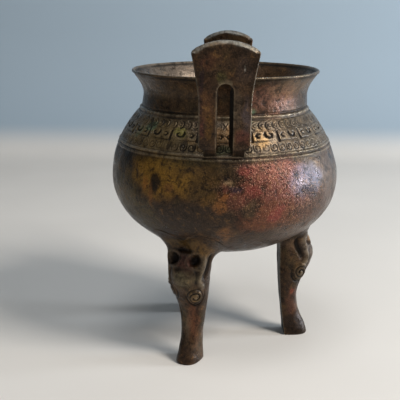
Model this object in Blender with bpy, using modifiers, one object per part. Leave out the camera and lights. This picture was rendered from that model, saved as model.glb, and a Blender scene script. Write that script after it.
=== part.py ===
"""Bronze ding: a round-bellied, three-legged vessel with two upright slotted handles.

The whole vessel is one casting: a deep hollow bowl with a drawn-in neck and an everted lip,
two tall handles that rise from the shoulder and stand clear of the lip, and three legs whose
upper ends swell into a beast mask.  Units are metres, +Z up, origin on the floor under the
bowl's axis.  The handles stand at +X and -X, and one leg is near -Y.
"""
import bpy
import bmesh
import math
from mathutils import Matrix, Vector

# ------------------------------------------------------------------ driving dimensions (mm)
MM = 0.001

# bowl
BELLY_R = 57.0            # widest radius of the bowl
BELLY_Z = 88.2            # height of the widest place
BELLY_DROP = 38.4         # from the widest place down to the underside
BELLY_ROUND = 2.03        # superellipse exponent of the lower half
SHOULDER_RISE = 53.2      # height of the superellipse that the shoulder follows
SHOULDER_ROUND = 1.87     # its exponent
WALL = 3.0                # wall of the bowl
SEGMENTS = 50             # facets round the bowl

# raised lines that bound the ornament band
LOWER_LINE_Z = 106.3
UPPER_LINE_Z = 122.7
LINE_HALF_WIDTH = 0.9
LINE_HEIGHT = 0.5

# neck and lip
NECK_R = 40.8             # narrowest outer radius
NECK_Z = 129.4
NECK_WALL = 2.5
LIP_R = 46.5
LIP_Z = 141.2             # top of the lip
LIP_EDGE = 1.2            # upright edge of the lip
FLARE_POWER = 1.9
INNER_FLARE_POWER = 1.7

# handles
# each handle: angle round the bowl, half width at the corners, height of the arched top's crown
HANDLES = ((180.2, 14.9, 158.3), (-1.4, 13.7, 157.3))
HANDLE_ARCH = 4.4         # the crown stands this far above the corners
HANDLE_HALF_STEM = 11.7   # half width of the two prongs together
HANDLE_WAIST_Z = 131.5    # the flare starts here
HANDLE_FLARE_POWER = 1.4
HANDLE_T = 4.0
HANDLE_OUT_LOW = 57.2     # outer face above the elbow, from the bowl's axis
HANDLE_OUT_TOP = 58.9     # outer face at the top: the handle leans out a little
SLOT_HALF = 3.55
SLOT_TOP_Z = 139.8
ELBOW_Z = 111.4
HANDLE_EDGE = 0.5         # softened edges

# legs
LEG_ANGLES = (-90.0, 22.7, 150.0)   # the second stands a little nearer to the first
LEG_TWIST = 4.6           # the legs sit a little round from the handles' axis
# stations up the leg: height, outer face, inner face, half width, half width of the flat back
LEG_STATIONS = (
    (0.0, 45.7, 33.0, 5.9, 5.4),
    (2.0, 45.3, 32.8, 5.6, 5.2),
    (6.0, 43.9, 32.3, 5.0, 4.7),
    (11.0, 41.5, 31.7, 4.9, 4.4),
    (17.0, 39.6, 31.0, 5.4, 4.3),
    (22.0, 39.3, 30.4, 6.0, 4.3),
    (27.0, 40.2, 30.0, 6.9, 4.5),
    (31.0, 41.6, 29.7, 8.0, 4.8),
    (36.0, 44.0, 29.5, 9.4, 5.6),
    (41.0, 45.9, 29.4, 10.1, 6.2),
    (46.0, 46.5, 29.3, 10.6, 6.9),
    (51.0, 45.7, 29.1, 10.9, 8.2),
    (56.0, 43.6, 28.7, 10.9, 10.0),
    (61.0, 41.0, 28.0, 10.8, 10.8),
)
LEG_ROUND = 2.3           # superellipse exponent of the leg's front
LEG_RINGS = (0.0, 0.9, 2.8, 6.0, 10.5, 15.5, 20.5, 25.0, 28.5, 31.2, 33.4, 35.6, 37.8, 40.0, 42.2, 44.4)
LEG_UPPER_RINGS = 5       # further rings, which close up on the bowl's curve
LEG_FRONT_POINTS = 15     # points round the front of one ring
LEG_FILLET = 2.4          # concave meeting with the bowl
LEG_ROOT = 1.1            # how far the leg runs into the bowl's wall


# ------------------------------------------------------------------ small helpers
def smooth_table(rows, x, col):
    """Monotone cubic reading of one column of a station table."""
    n = len(rows)
    if x <= rows[0][0]:
        return rows[0][col]
    if x >= rows[-1][0]:
        return rows[-1][col]
    slope = []
    for i in range(n - 1):
        slope.append((rows[i + 1][col] - rows[i][col]) / (rows[i + 1][0] - rows[i][0]))
    tan = [slope[0]]
    for i in range(1, n - 1):
        a, b = slope[i - 1], slope[i]
        tan.append(0.0 if a * b <= 0.0 else 2.0 * a * b / (a + b))
    tan.append(slope[-1])
    for i in range(n - 1):
        x0, x1 = rows[i][0], rows[i + 1][0]
        if x <= x1:
            h = x1 - x0
            t = (x - x0) / h
            y0, y1 = rows[i][col], rows[i + 1][col]
            return ((2 * t ** 3 - 3 * t ** 2 + 1) * y0 + (t ** 3 - 2 * t ** 2 + t) * h * tan[i]
                    + (3 * t ** 2 - 2 * t ** 3) * y1 + (t ** 3 - t ** 2) * h * tan[i + 1])
    return rows[-1][col]


def bump(x, centre, half):
    """Smooth hump: 1 at the centre, 0 at half away."""
    d = abs(x - centre) / half
    return 0.0 if d >= 1.0 else (1.0 - d * d) ** 2


def lower_curve(t, grow=0.0):
    """Point of the bowl's lower half, t from 0 (underside) to 1 (widest place)."""
    a = t * math.pi / 2
    r = (BELLY_R + grow) * math.sin(a) ** (2.0 / BELLY_ROUND)
    z = BELLY_Z - (BELLY_DROP + grow) * max(math.cos(a), 0.0) ** (2.0 / BELLY_ROUND)
    return r, z


def shoulder_r(z):
    """Outer radius of the shoulder at a height above the widest place."""
    t = max(z - BELLY_Z, 0.0) / SHOULDER_RISE
    return BELLY_R * (1.0 - t ** SHOULDER_ROUND) ** (1.0 / SHOULDER_ROUND)


def bowl_bottom_z(r):
    """Height of the bowl's outer skin below the widest place, at radius r."""
    s = min(r / BELLY_R, 1.0) ** (BELLY_ROUND / 2.0)
    c = math.sqrt(max(1.0 - s * s, 0.0))
    return BELLY_Z - BELLY_DROP * c ** (2.0 / BELLY_ROUND)


def new_mesh_object(name, bm, collection):
    mesh = bpy.data.meshes.new(name)
    bm.to_mesh(mesh)
    bm.free()
    obj = bpy.data.objects.new(name, mesh)
    collection.objects.link(obj)
    return obj


def as_cutter(obj):
    obj.hide_render = True
    obj.display_type = 'WIRE'
    return obj


def settle(obj, name, collection):
    """The evaluated shape of an object as a plain mesh object of its own."""
    bpy.context.view_layer.update()
    deps = bpy.context.evaluated_depsgraph_get()
    mesh = bpy.data.meshes.new_from_object(obj.evaluated_get(deps))
    mesh.transform(obj.matrix_world)
    bm = bmesh.new()
    bm.from_mesh(mesh)
    bmesh.ops.remove_doubles(bm, verts=bm.verts, dist=0.00001)
    bmesh.ops.recalc_face_normals(bm, faces=bm.faces)
    bm.to_mesh(mesh)
    bm.free()
    out = bpy.data.objects.new(name, mesh)
    collection.objects.link(out)
    bpy.data.objects.remove(obj, do_unlink=True)
    return out


def flat_outline(name, points, half_depth, matrix, collection):
    """A closed flat outline, filled and given a thickness, as a mesh object."""
    curve = bpy.data.curves.new(name, 'CURVE')
    curve.dimensions = '2D'
    curve.fill_mode = 'BOTH'
    curve.extrude = half_depth * MM
    spline = curve.splines.new('POLY')
    spline.points.add(len(points) - 1)
    for p, (a, b) in zip(spline.points, points):
        p.co = (a * MM, b * MM, 0.0, 1.0)
    spline.use_cyclic_u = True
    obj = bpy.data.objects.new(name + '_curve', curve)
    obj.matrix_world = matrix
    collection.objects.link(obj)
    return settle(obj, name, collection)


def boolean(obj, other, operation):
    mod = obj.modifiers.new(operation.lower() + '_' + other.name, 'BOOLEAN')
    mod.operation = operation
    mod.solver = 'EXACT'
    mod.object = other
    return mod


# ------------------------------------------------------------------ bowl
def bowl_profile():
    """Radius and height in mm: up the inside from the centre, over the lip, down the outside."""
    inside = []
    for i in range(0, 9):                                   # floor and lower wall
        inside.append(lower_curve(i / 8.0, -WALL))
    z = BELLY_Z + 8.0
    while z < UPPER_LINE_Z - 1.0:                           # shoulder, measured square to it
        r0, r1 = shoulder_r(z - 0.5), shoulder_r(z + 0.5)
        slope = r1 - r0
        n = math.hypot(1.0, slope)
        inside.append((shoulder_r(z) - WALL / n, z - WALL * (-slope) / n))
        z += 7.4
    inner_neck = NECK_R - NECK_WALL
    inside.append((inner_neck + 0.8, NECK_Z - 5.6))
    inside.append((inner_neck, NECK_Z - 1.0))
    for i in range(1, 5):                                   # inside of the flared lip
        t = i / 4.0
        z = NECK_Z + t * (LIP_Z - NECK_Z)
        inside.append((inner_neck + (LIP_R - 0.5 - inner_neck) * t ** INNER_FLARE_POWER, z))
    outside = [(LIP_R, LIP_Z - 0.35), (LIP_R, LIP_Z - LIP_EDGE)]
    for i in range(3, -1, -1):                              # outside of the flare
        t = i / 4.0
        z = NECK_Z + t * (LIP_Z - LIP_EDGE - NECK_Z)
        outside.append((NECK_R + (LIP_R - NECK_R) * t ** FLARE_POWER, z))
    line_top = UPPER_LINE_Z + LINE_HALF_WIDTH
    outside.append((NECK_R + 0.3, NECK_Z - 3.4))
    outside.append((shoulder_r(line_top) + 0.1, line_top + 0.2))
    outside.append((shoulder_r(UPPER_LINE_Z) + LINE_HEIGHT, UPPER_LINE_Z))
    outside.append((shoulder_r(UPPER_LINE_Z - LINE_HALF_WIDTH), UPPER_LINE_Z - LINE_HALF_WIDTH))
    for i in (3, 2, 1):                                     # ornament band
        z = LOWER_LINE_Z + (UPPER_LINE_Z - LOWER_LINE_Z) * i / 4.0
        outside.append((shoulder_r(z), z))
    outside.append((shoulder_r(LOWER_LINE_Z + LINE_HALF_WIDTH), LOWER_LINE_Z + LINE_HALF_WIDTH))
    outside.append((shoulder_r(LOWER_LINE_Z) + LINE_HEIGHT, LOWER_LINE_Z))
    outside.append((shoulder_r(LOWER_LINE_Z - LINE_HALF_WIDTH), LOWER_LINE_Z - LINE_HALF_WIDTH))
    for z in (BELLY_Z + 11.6, BELLY_Z + 5.8):
        outside.append((shoulder_r(z), z))
    for i in range(11, -1, -1):                             # lower half
        outside.append(lower_curve(i / 11.0))
    return inside + outside


def make_bowl(collection):
    mesh = bpy.data.meshes.new('bowl_profile')
    points = bowl_profile()
    verts = [(max(r, 0.0) * MM, 0.0, z * MM) for r, z in points]
    edges = [(i, i + 1) for i in range(len(verts) - 1)]
    mesh.from_pydata(verts, edges, [])
    obj = bpy.data.objects.new('bowl_turned', mesh)
    collection.objects.link(obj)
    screw = obj.modifiers.new('turn', 'SCREW')
    screw.axis = 'Z'
    screw.angle = 2.0 * math.pi
    screw.steps = SEGMENTS
    screw.render_steps = SEGMENTS
    screw.use_merge_vertices = True
    screw.merge_threshold = 0.00001
    screw.use_smooth_shade = True
    return settle(obj, 'bowl', collection)


# ------------------------------------------------------------------ handles
def handle_front_outline(half_top, crown_z):
    """Across and up: a fan-shaped head with an arched top on two straight prongs."""
    foot = 97.0
    corner_z = crown_z - HANDLE_ARCH
    right = [(HANDLE_HALF_STEM, foot), (HANDLE_HALF_STEM, HANDLE_WAIST_Z)]
    for i in range(1, 6):
        t = i / 5.0
        z = HANDLE_WAIST_Z + (corner_z - 1.4 - HANDLE_WAIST_Z) * t
        right.append((HANDLE_HALF_STEM + (half_top - HANDLE_HALF_STEM) * t ** HANDLE_FLARE_POWER, z))
    right.append((half_top - 0.25, corner_z - 0.4))
    for i in range(0, 7):                                   # arched top, to the middle
        a = (half_top - 1.0) * (1.0 - i / 6.0)
        right.append((a, corner_z + HANDLE_ARCH * (1.0 - (a / half_top) ** 2)))
    left = [(-a, b) for a, b in reversed(right[:-1])]
    slot = [(-SLOT_HALF, foot)]
    for i in range(0, 9):
        w = math.pi * (1.0 - i / 8.0)
        slot.append((SLOT_HALF * math.cos(w), SLOT_TOP_Z - SLOT_HALF + SLOT_HALF * math.sin(w)))
    slot.append((SLOT_HALF, foot))
    return right + left + slot


def handle_side_outline():
    """Out and up: an upright plate that bends in at an elbow and runs into the shoulder."""
    top = 160.0
    face = HANDLE_OUT_LOW - HANDLE_T
    return [
        (HANDLE_OUT_TOP, top),
        (HANDLE_OUT_TOP - HANDLE_T, top),
        (face + 0.2, ELBOW_Z + 5.6),
        (face - 0.5, ELBOW_Z + 3.4),
        (face - 2.0, ELBOW_Z + 1.8),
        (47.6, ELBOW_Z + 0.6),                              # root, inside the wall
        (50.0, LOWER_LINE_Z - 0.4),
        (52.6, LOWER_LINE_Z + 0.4),
        (55.4, ELBOW_Z - 2.5),
        (56.7, ELBOW_Z - 1.0),
        (HANDLE_OUT_LOW, ELBOW_Z + 0.9),
    ]


def make_handle(name, angle, half_top, crown_z, collection):
    front_axes = Matrix(((0, 0, 1), (1, 0, 0), (0, 1, 0))).to_4x4()    # extrudes along X
    side_axes = Matrix.Rotation(math.radians(90.0), 4, 'X')            # extrudes along Y
    front = flat_outline(name + '_front', handle_front_outline(half_top, crown_z), 14.0,
                         Matrix.Translation((55.0 * MM, 0, 0)) @ front_axes, collection)
    side = flat_outline(name + '_side', handle_side_outline(), 20.0, side_axes, collection)
    boolean(side, as_cutter(front), 'INTERSECT')
    plate = settle(side, name + '_plate', collection)
    bpy.data.objects.remove(front, do_unlink=True)
    bev = plate.modifiers.new('soft_edges', 'BEVEL')
    bev.width = HANDLE_EDGE * MM
    bev.segments = 1
    bev.limit_method = 'ANGLE'
    bev.angle_limit = math.radians(50.0)
    plate.matrix_world = Matrix.Rotation(math.radians(angle), 4, 'Z')
    return settle(plate, name, collection)


# ------------------------------------------------------------------ legs
def leg_section(z):
    """Outline of the leg at a height: list of (out, across), starting at the back's middle."""
    outer = smooth_table(LEG_STATIONS, z, 1)
    inner = smooth_table(LEG_STATIONS, z, 2)
    half = smooth_table(LEG_STATIONS, z, 3)
    back = smooth_table(LEG_STATIONS, z, 4)
    widest = inner + 0.42 * (outer - inner)
    pts = [(inner, 0.0), (inner, -back)]
    pts.append((inner + 0.45 * (widest - inner), -back - 0.72 * (half - back)))
    for i in range(LEG_FRONT_POINTS):
        a = math.radians(-90.0 + 180.0 * i / (LEG_FRONT_POINTS - 1))
        c, s = max(math.cos(a), 0.0), math.sin(a)
        u = widest + (outer - widest) * c ** (2.0 / LEG_ROUND)
        v = half * math.copysign(abs(s) ** (2.0 / LEG_ROUND), s)
        w = leg_relief(z, math.degrees(a))
        pts.append((u + w * math.cos(a), v + w * math.sin(a)))
    pts.append((inner + 0.45 * (widest - inner), back + 0.72 * (half - back)))
    pts.append((inner, back))
    return pts


def leg_relief(z, a):
    """Height of the beast mask over the plain leg: brows, eye hollows, muzzle, jaw scrolls."""
    side = abs(a)
    out = 0.0
    out += 0.8 * bump(z, 57.0, 4.5) * bump(side, 32.0, 26.0)        # brow
    out -= 1.5 * bump(z, 54.6, 4.0) * bump(side, 56.0, 20.0)        # eye hollow
    out += 0.7 * bump(z, 53.0, 6.5) * bump(side, 84.0, 18.0)        # rim behind the eye
    out += 0.5 * bump(z, 46.0, 8.0) * bump(side, 0.0, 40.0)         # muzzle
    out += 1.3 * bump(z, 36.6, 4.4) * bump(side, 60.0, 26.0)        # jaw scroll
    out -= 0.7 * bump(z, 31.8, 2.6) * bump(side, 56.0, 26.0)        # groove under it
    return out


def make_leg(name, angle, collection):
    bm = bmesh.new()
    rings = []
    for z in LEG_RINGS:
        rings.append([bm.verts.new((u * MM, v * MM, z * MM)) for u, v in leg_section(z)])
    base = LEG_RINGS[-1]
    crest = [bowl_bottom_z(math.hypot(u, v)) - LEG_FILLET for u, v in leg_section(58.0)]
    for k in range(1, LEG_UPPER_RINGS + 1):                          # up to the fillet's foot
        ring = []
        for i, top_z in enumerate(crest):
            z = base + (top_z - base) * k / LEG_UPPER_RINGS
            u, v = leg_section(z)[i]
            ring.append(bm.verts.new((u * MM, v * MM, z * MM)))
        rings.append(ring)
    foot = [v.co / MM for v in rings[-1]]
    mid = sum(p.x for p in foot) / len(foot)
    for spread, drop in ((0.7, 0.45), (1.9, 0.05), (2.2, -LEG_ROOT / LEG_FILLET)):
        ring = []
        for p in foot:
            away = Vector((p.x - mid, p.y, 0.0)).normalized()
            q = p + away * spread
            z = bowl_bottom_z(math.hypot(q.x, q.y)) - LEG_FILLET * drop
            ring.append(bm.verts.new((q.x * MM, q.y * MM, z * MM)))
        rings.append(ring)
    top = rings[-1]
    n = len(rings[0])
    for low, high in zip(rings[:-1], rings[1:]):
        for i in range(n):
            j = (i + 1) % n
            bm.faces.new((low[i], low[j], high[j], high[i]))
    bm.faces.new(list(reversed(rings[0])))
    mid_u = sum(v.co.x for v in top) / n
    hub = bm.verts.new((mid_u, 0.0, (bowl_bottom_z(mid_u / MM) + LEG_ROOT) * MM))
    for i in range(n):
        bm.faces.new((top[i], top[(i + 1) % n], hub))
    bmesh.ops.recalc_face_normals(bm, faces=bm.faces)
    bmesh.ops.rotate(bm, verts=bm.verts, cent=(0, 0, 0),
                     matrix=Matrix.Rotation(math.radians(angle), 3, 'Z'))
    return new_mesh_object(name, bm, collection)


# ------------------------------------------------------------------ material
def bronze():
    mat = bpy.data.materials.new('patinated_bronze')
    mat.use_nodes = True
    shader = mat.node_tree.nodes['Principled BSDF']
    shader.inputs['Base Color'].default_value = (0.115, 0.058, 0.030, 1.0)
    shader.inputs['Metallic'].default_value = 0.6
    shader.inputs['Roughness'].default_value = 0.42
    return mat


def main():
    for obj in list(bpy.data.objects):
        bpy.data.objects.remove(obj, do_unlink=True)

    parts = bpy.data.collections.new('bronze_ding_vessel')
    cutters = bpy.data.collections.new('construction')
    bpy.context.scene.collection.children.link(parts)
    bpy.context.scene.collection.children.link(cutters)

    bowl = make_bowl(cutters)
    joined = []
    for i, angle in enumerate(LEG_ANGLES):
        joined.append(make_leg('leg_%d' % (i + 1), angle + LEG_TWIST, cutters))
    for i, (angle, half_top, crown_z) in enumerate(HANDLES):
        joined.append(make_handle('handle_%d' % (i + 1), angle, half_top, crown_z, cutters))
    for other in joined:
        boolean(bowl, as_cutter(other), 'UNION')
    vessel = settle(bowl, 'ding_vessel', parts)
    for other in joined:
        bpy.data.objects.remove(other, do_unlink=True)

    vessel.data.materials.clear()
    vessel.data.materials.append(bronze())
    vessel.data.shade_smooth()
    vessel.data.set_sharp_from_angle(angle=math.radians(32.0))
    return vessel


main()
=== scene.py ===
"""Bronze ding vessel: the visual model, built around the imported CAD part.

Everything is worked out in millimetres from named sizes and scaled to metres at the end.
Piece meshes lie in the row frame, +Z up, with the handles at +X and -X.
"""
import bpy
import math
import numpy as np
from mathutils import Matrix, Vector


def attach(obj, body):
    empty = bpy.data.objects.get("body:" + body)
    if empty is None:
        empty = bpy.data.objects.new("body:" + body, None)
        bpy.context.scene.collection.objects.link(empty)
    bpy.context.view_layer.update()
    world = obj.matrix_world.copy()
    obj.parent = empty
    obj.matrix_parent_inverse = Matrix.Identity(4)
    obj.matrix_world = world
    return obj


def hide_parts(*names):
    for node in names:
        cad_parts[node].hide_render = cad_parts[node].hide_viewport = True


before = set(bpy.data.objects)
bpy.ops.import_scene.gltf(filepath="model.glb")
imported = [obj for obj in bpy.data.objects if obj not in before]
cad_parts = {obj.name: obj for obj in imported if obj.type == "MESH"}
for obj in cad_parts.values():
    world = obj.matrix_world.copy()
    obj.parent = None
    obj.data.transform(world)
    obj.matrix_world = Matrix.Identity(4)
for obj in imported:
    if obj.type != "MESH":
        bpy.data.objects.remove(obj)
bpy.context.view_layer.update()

MM = 0.001

# ------------------------------------------------------------------ sizes of the casting (mm)
BELLY_R, BELLY_Z, BELLY_DROP, BELLY_ROUND = 57.0, 88.2, 38.4, 2.03
SHOULDER_RISE, SHOULDER_ROUND = 53.2, 1.87
WALL = 3.0
LOWER_LINE_Z, UPPER_LINE_Z = 106.3, 122.7
NECK_R, NECK_Z, NECK_WALL = 40.8, 129.4, 2.5
LIP_R, LIP_Z, LIP_EDGE = 46.5, 141.2, 1.2
FLARE_POWER, INNER_FLARE_POWER = 1.9, 1.7

HANDLES = (("handle_front", 180.2, 14.9, 158.3), ("handle_back", -1.4, 13.7, 157.3))
HANDLE_LEAN = (-0.35, 0.0)          # the feet of the handles stand this far to one side
HANDLE_ARCH, HANDLE_HALF_STEM, HANDLE_WAIST_Z, HANDLE_FLARE_POWER = 4.4, 11.7, 131.5, 1.4
HANDLE_T, HANDLE_OUT_LOW, HANDLE_OUT_TOP = 4.0, 57.2, 58.9
SLOT_HALF, SLOT_TOP_Z, ELBOW_Z = 3.55, 139.8, 111.4

# name, angle of the leg, angles of its two jaw scrolls round its front, how much
# higher the first is, and its relief
LEG_NAMES = (("leg_right", -85.4, (-66.0, 50.0, 0.8, 1.25)), ("leg_back", 27.3, (-46.0, 46.0, 0.0, 1.25)),
             ("leg_front", 154.6, (-52.0, 37.0, 2.6, 0.75)))
# height, outermost and innermost place, half width, half width of the flat back
LEG_STATIONS = (
    (0.0, 45.7, 33.0, 5.9, 5.4),
    (2.0, 45.3, 32.8, 5.6, 5.2),
    (6.0, 43.9, 32.3, 5.0, 4.7),
    (11.0, 41.5, 31.7, 4.9, 4.4),
    (17.0, 39.6, 31.0, 5.4, 4.3),
    (22.0, 39.3, 30.4, 6.0, 4.3),
    (27.0, 40.2, 30.0, 6.8, 4.5),
    (31.0, 41.6, 29.7, 7.7, 4.7),
    (36.0, 44.0, 29.5, 8.7, 5.2),
    (41.0, 45.9, 29.4, 9.2, 5.6),
    (46.0, 46.5, 29.3, 9.6, 6.1),
    (51.0, 45.7, 29.1, 10.1, 7.0),
    (56.0, 43.6, 28.7, 10.6, 8.6),
    (61.0, 41.0, 28.0, 10.8, 10.0),
)
LEG_ROUND = 2.3
# how far the root spreads over the bowl and how far below it starts: back, side, front
ROOT_SPREAD, ROOT_DROP, ROOT_STEP = (1.4, 8.4, 3.8), (1.4, 8.8, 2.4), 0.26
LEG_BASE_TOP = 42.0

# columns round the bowl: plain parts, and the ornament band
COLUMNS, BAND_COLUMNS = 252, 1008


# ------------------------------------------------------------------ numbers
def lattice(ix, iy, iz, seed):
    """Even pseudo-random value from -1 to 1 at whole-number places."""
    m = np.uint64(0xFFFFFFFF)
    h = (ix.astype(np.int64).astype(np.uint64) * np.uint64(374761393)
         + iy.astype(np.int64).astype(np.uint64) * np.uint64(668265263)
         + iz.astype(np.int64).astype(np.uint64) * np.uint64(2246822519)
         + np.uint64(seed * 1274126177 % 4294967296)) & m
    h = ((h ^ (h >> np.uint64(13))) * np.uint64(1274126177)) & m
    h = ((h ^ (h >> np.uint64(16))) * np.uint64(2654435761)) & m
    h = h ^ (h >> np.uint64(15))
    return h.astype(np.float64) / 4294967295.0 * 2.0 - 1.0


def noise3(p, size, seed=0):
    """Smooth noise from about -1 to 1 over points p (mm), with features of the given size."""
    q = p / size + 1000.0
    i = np.floor(q)
    f = q - i
    f = f * f * f * (f * (f * 6.0 - 15.0) + 10.0)
    out = np.zeros(len(p))
    for dx in (0, 1):
        wx = f[:, 0] if dx else 1.0 - f[:, 0]
        for dy in (0, 1):
            wy = f[:, 1] if dy else 1.0 - f[:, 1]
            for dz in (0, 1):
                wz = f[:, 2] if dz else 1.0 - f[:, 2]
                out += wx * wy * wz * lattice(i[:, 0] + dx, i[:, 1] + dy, i[:, 2] + dz, seed)
    return out


def layered(p, size, seed, layers=3):
    """Noise with finer and finer layers, from about -1 to 1."""
    out = sum(noise3(p, size / 2 ** k, seed + 7 * k) * 0.6 ** k for k in range(layers))
    return out / sum(0.6 ** k for k in range(layers))


def step(x, a, b):
    """Smooth rise from 0 at a to 1 at b."""
    t = np.clip((np.asarray(x, float) - a) / (b - a), 0.0, 1.0)
    return t * t * (3.0 - 2.0 * t)


def hump(x, centre, half):
    d = np.abs(np.asarray(x, float) - centre) / half
    return np.where(d < 1.0, (1.0 - d * d) ** 2, 0.0)


def table(rows, x, col):
    """Monotone cubic reading of one column of a station table, for an array of heights."""
    xs = np.array([r[0] for r in rows])
    ys = np.array([r[col] for r in rows])
    slope = np.diff(ys) / np.diff(xs)
    tan = np.zeros(len(xs))
    tan[0], tan[-1] = slope[0], slope[-1]
    for i in range(1, len(xs) - 1):
        a, b = slope[i - 1], slope[i]
        tan[i] = 0.0 if a * b <= 0.0 else 2.0 * a * b / (a + b)
    x = np.clip(np.asarray(x, float), xs[0], xs[-1])
    k = np.clip(np.searchsorted(xs, x, side='right') - 1, 0, len(xs) - 2)
    h = xs[k + 1] - xs[k]
    t = (x - xs[k]) / h
    return ((2 * t ** 3 - 3 * t ** 2 + 1) * ys[k] + (t ** 3 - 2 * t ** 2 + t) * h * tan[k]
            + (3 * t ** 2 - 2 * t ** 3) * ys[k + 1] + (t ** 3 - t ** 2) * h * tan[k + 1])


def resample(points, spacing):
    """Points evenly spaced along a polyline, both ends kept."""
    p = np.array(points, float)
    d = np.r_[0.0, np.cumsum(np.hypot(*np.diff(p, axis=0).T))]
    n = max(int(round(d[-1] / spacing)), 1)
    s = np.linspace(0.0, d[-1], n + 1)
    return np.stack([np.interp(s, d, p[:, 0]), np.interp(s, d, p[:, 1])], 1)


def rounded(points, count):
    """Smooth curve through points (Catmull-Rom), as count points."""
    p = np.array(points, float)
    p = np.vstack([2 * p[0] - p[1], p, 2 * p[-1] - p[-2]])
    out = []
    n = len(p) - 3
    for s in np.linspace(0.0, n, count):
        i = min(int(s), n - 1)
        t = s - i
        a, b, c, d = p[i], p[i + 1], p[i + 2], p[i + 3]
        out.append(0.5 * ((2 * b) + (c - a) * t + (2 * a - 5 * b + 4 * c - d) * t * t
                          + (3 * b - a - 3 * c + d) * t ** 3))
    return np.array(out)


# ------------------------------------------------------------------ meshes
def volume(verts, faces):
    total = 0.0
    for f in faces:
        if len(f) == 0:
            continue
        f = np.asarray(f)
        a = verts[f[:, 0]]
        for k in range(1, f.shape[1] - 1):
            total += np.einsum('ij,ij->i', a, np.cross(verts[f[:, k]], verts[f[:, k + 1]])).sum()
    return total / 6.0


def build(name, verts, quads, tris, relief, patches=()):
    """Mesh object from a base form, pushed along its normals by relief(points, normals).

    relief gives the height in mm and masks from 0 to 1: dirt in hollows together with painted shade, wear together
    with painted highlights and, if any, grainy.
    patches are the colours of the patina, with painted highlights and painted light among them, painted on in order."""
    groups = [np.asarray(g, int) for g in (quads, tris) if len(g)]
    if volume(verts, groups) < 0.0:
        groups = [g[:, ::-1] for g in groups]
    faces = [list(map(int, row)) for g in groups for row in g]
    mesh = bpy.data.meshes.new(name)
    mesh.from_pydata((verts * MM).tolist(), [], faces)
    mesh.update()
    normals = np.zeros(len(verts) * 3, np.float32)
    mesh.vertex_normals.foreach_get('vector', normals)
    normals = normals.reshape(-1, 3).astype(float)
    height, dirt_and_shade, wear_and_highlight, *more = relief(verts, normals)
    grainy = more[0] if more else np.zeros(len(verts))
    moved = verts + normals * height[:, None]
    mesh.vertices.foreach_set('co', (moved * MM).astype(np.float32).ravel())
    for key, value in (('dirt_and_shade', dirt_and_shade), ('wear_and_highlight', wear_and_highlight), ('grainy', grainy)):
        layer = mesh.attributes.new(key, 'FLOAT', 'POINT')
        layer.data.foreach_set('value', np.clip(value, 0.0, 1.0).astype(np.float32))
    layer = mesh.attributes.new('tint', 'FLOAT_COLOR', 'POINT')
    rgba = np.hstack([patina(moved, patches), np.ones((len(moved), 1))])
    layer.data.foreach_set('color', rgba.astype(np.float32).ravel())
    mesh.polygons.foreach_set('use_smooth', np.ones(len(mesh.polygons), bool))
    mesh.update()
    obj = bpy.data.objects.new(name, mesh)
    bpy.context.scene.collection.objects.link(obj)
    return obj


def bridge(first_a, na, first_b, nb, quads, tris):
    """Faces between ring a and ring b; one may hold twice as many points as the other."""
    if na == nb:
        j = np.arange(na)
        k = (j + 1) % na
        quads.append(np.stack([first_a + j, first_a + k, first_b + k, first_b + j], 1))
        return
    if nb == 2 * na:
        j = np.arange(na)
        k = (j + 1) % na
        f0, f1, f2 = first_b + 2 * j, first_b + 2 * j + 1, first_b + (2 * j + 2) % nb
        c0, c1 = first_a + j, first_a + k
        tris.append(np.stack([c0, f1, f0], 1))
        tris.append(np.stack([c0, c1, f1], 1))
        tris.append(np.stack([c1, f2, f1], 1))
        return
    if na == 2 * nb:
        j = np.arange(nb)
        k = (j + 1) % nb
        f0, f1, f2 = first_a + 2 * j, first_a + 2 * j + 1, first_a + (2 * j + 2) % na
        c0, c1 = first_b + j, first_b + k
        tris.append(np.stack([c0, f0, f1], 1))
        tris.append(np.stack([c0, f1, c1], 1))
        tris.append(np.stack([c1, f1, f2], 1))
        return
    raise ValueError('rings do not match')


def linear(rgb):
    """Linear colour from display values 0 to 255."""
    c = np.array(rgb, float) / 255.0
    return np.where(c <= 0.04045, c / 12.92, ((c + 0.055) / 1.055) ** 2.4)


def patina(p, patches):
    """Linear colours at points p: mottled brown, then each patch with a wandering, ragged edge.

    A patch is place, angle, half sizes (deep, round, up), softness, strength and colour."""
    broad = layered(p, 22.0, 201, 4)
    middle = layered(p, 7.0, 221, 3)
    vein = layered(p, 4.2, 241, 2)

    def over(base, mask, shade):
        return base + np.clip(mask, 0.0, 1.0)[:, None] * (linear(shade) - base)

    colour = over(np.tile(linear((54, 39, 27)), (len(p), 1)), step(broad, -0.25, 0.25), (78, 57, 38))
    colour = over(colour, 0.5 * step(middle, 0.05, 0.4), (60, 50, 29))
    colour = over(colour, 0.5 * step(-middle, 0.1, 0.5), (38, 28, 20))
    warp = np.stack([layered(p, 11.0, 301 + 20 * k, 3) for k in range(3)], 1)
    for place, angle, half, soft, strength, shade in patches:
        big = min(half[1], 8.0) / 8.0
        a = math.radians(angle)
        d = p + warp * (1.2 + 3.4 * big) - np.array(place)
        deep = d[:, 0] * math.cos(a) + d[:, 1] * math.sin(a)
        across = -d[:, 0] * math.sin(a) + d[:, 1] * math.cos(a)
        near = np.sqrt((deep / half[0]) ** 2 + (across / half[1]) ** 2 + (d[:, 2] / half[2]) ** 2)
        near = near + 0.45 * (middle if big > 0.7 else vein)
        colour = over(colour, strength * (1.0 - step(near, 1.0 - soft, 1.0 + soft)), shade)
    return colour


# ------------------------------------------------------------------ bowl
def lower_curve(t, grow=0.0):
    a = t * math.pi / 2
    r = (BELLY_R + grow) * math.sin(a) ** (2.0 / BELLY_ROUND)
    z = BELLY_Z - (BELLY_DROP + grow) * max(math.cos(a), 0.0) ** (2.0 / BELLY_ROUND)
    return r, z


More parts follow.
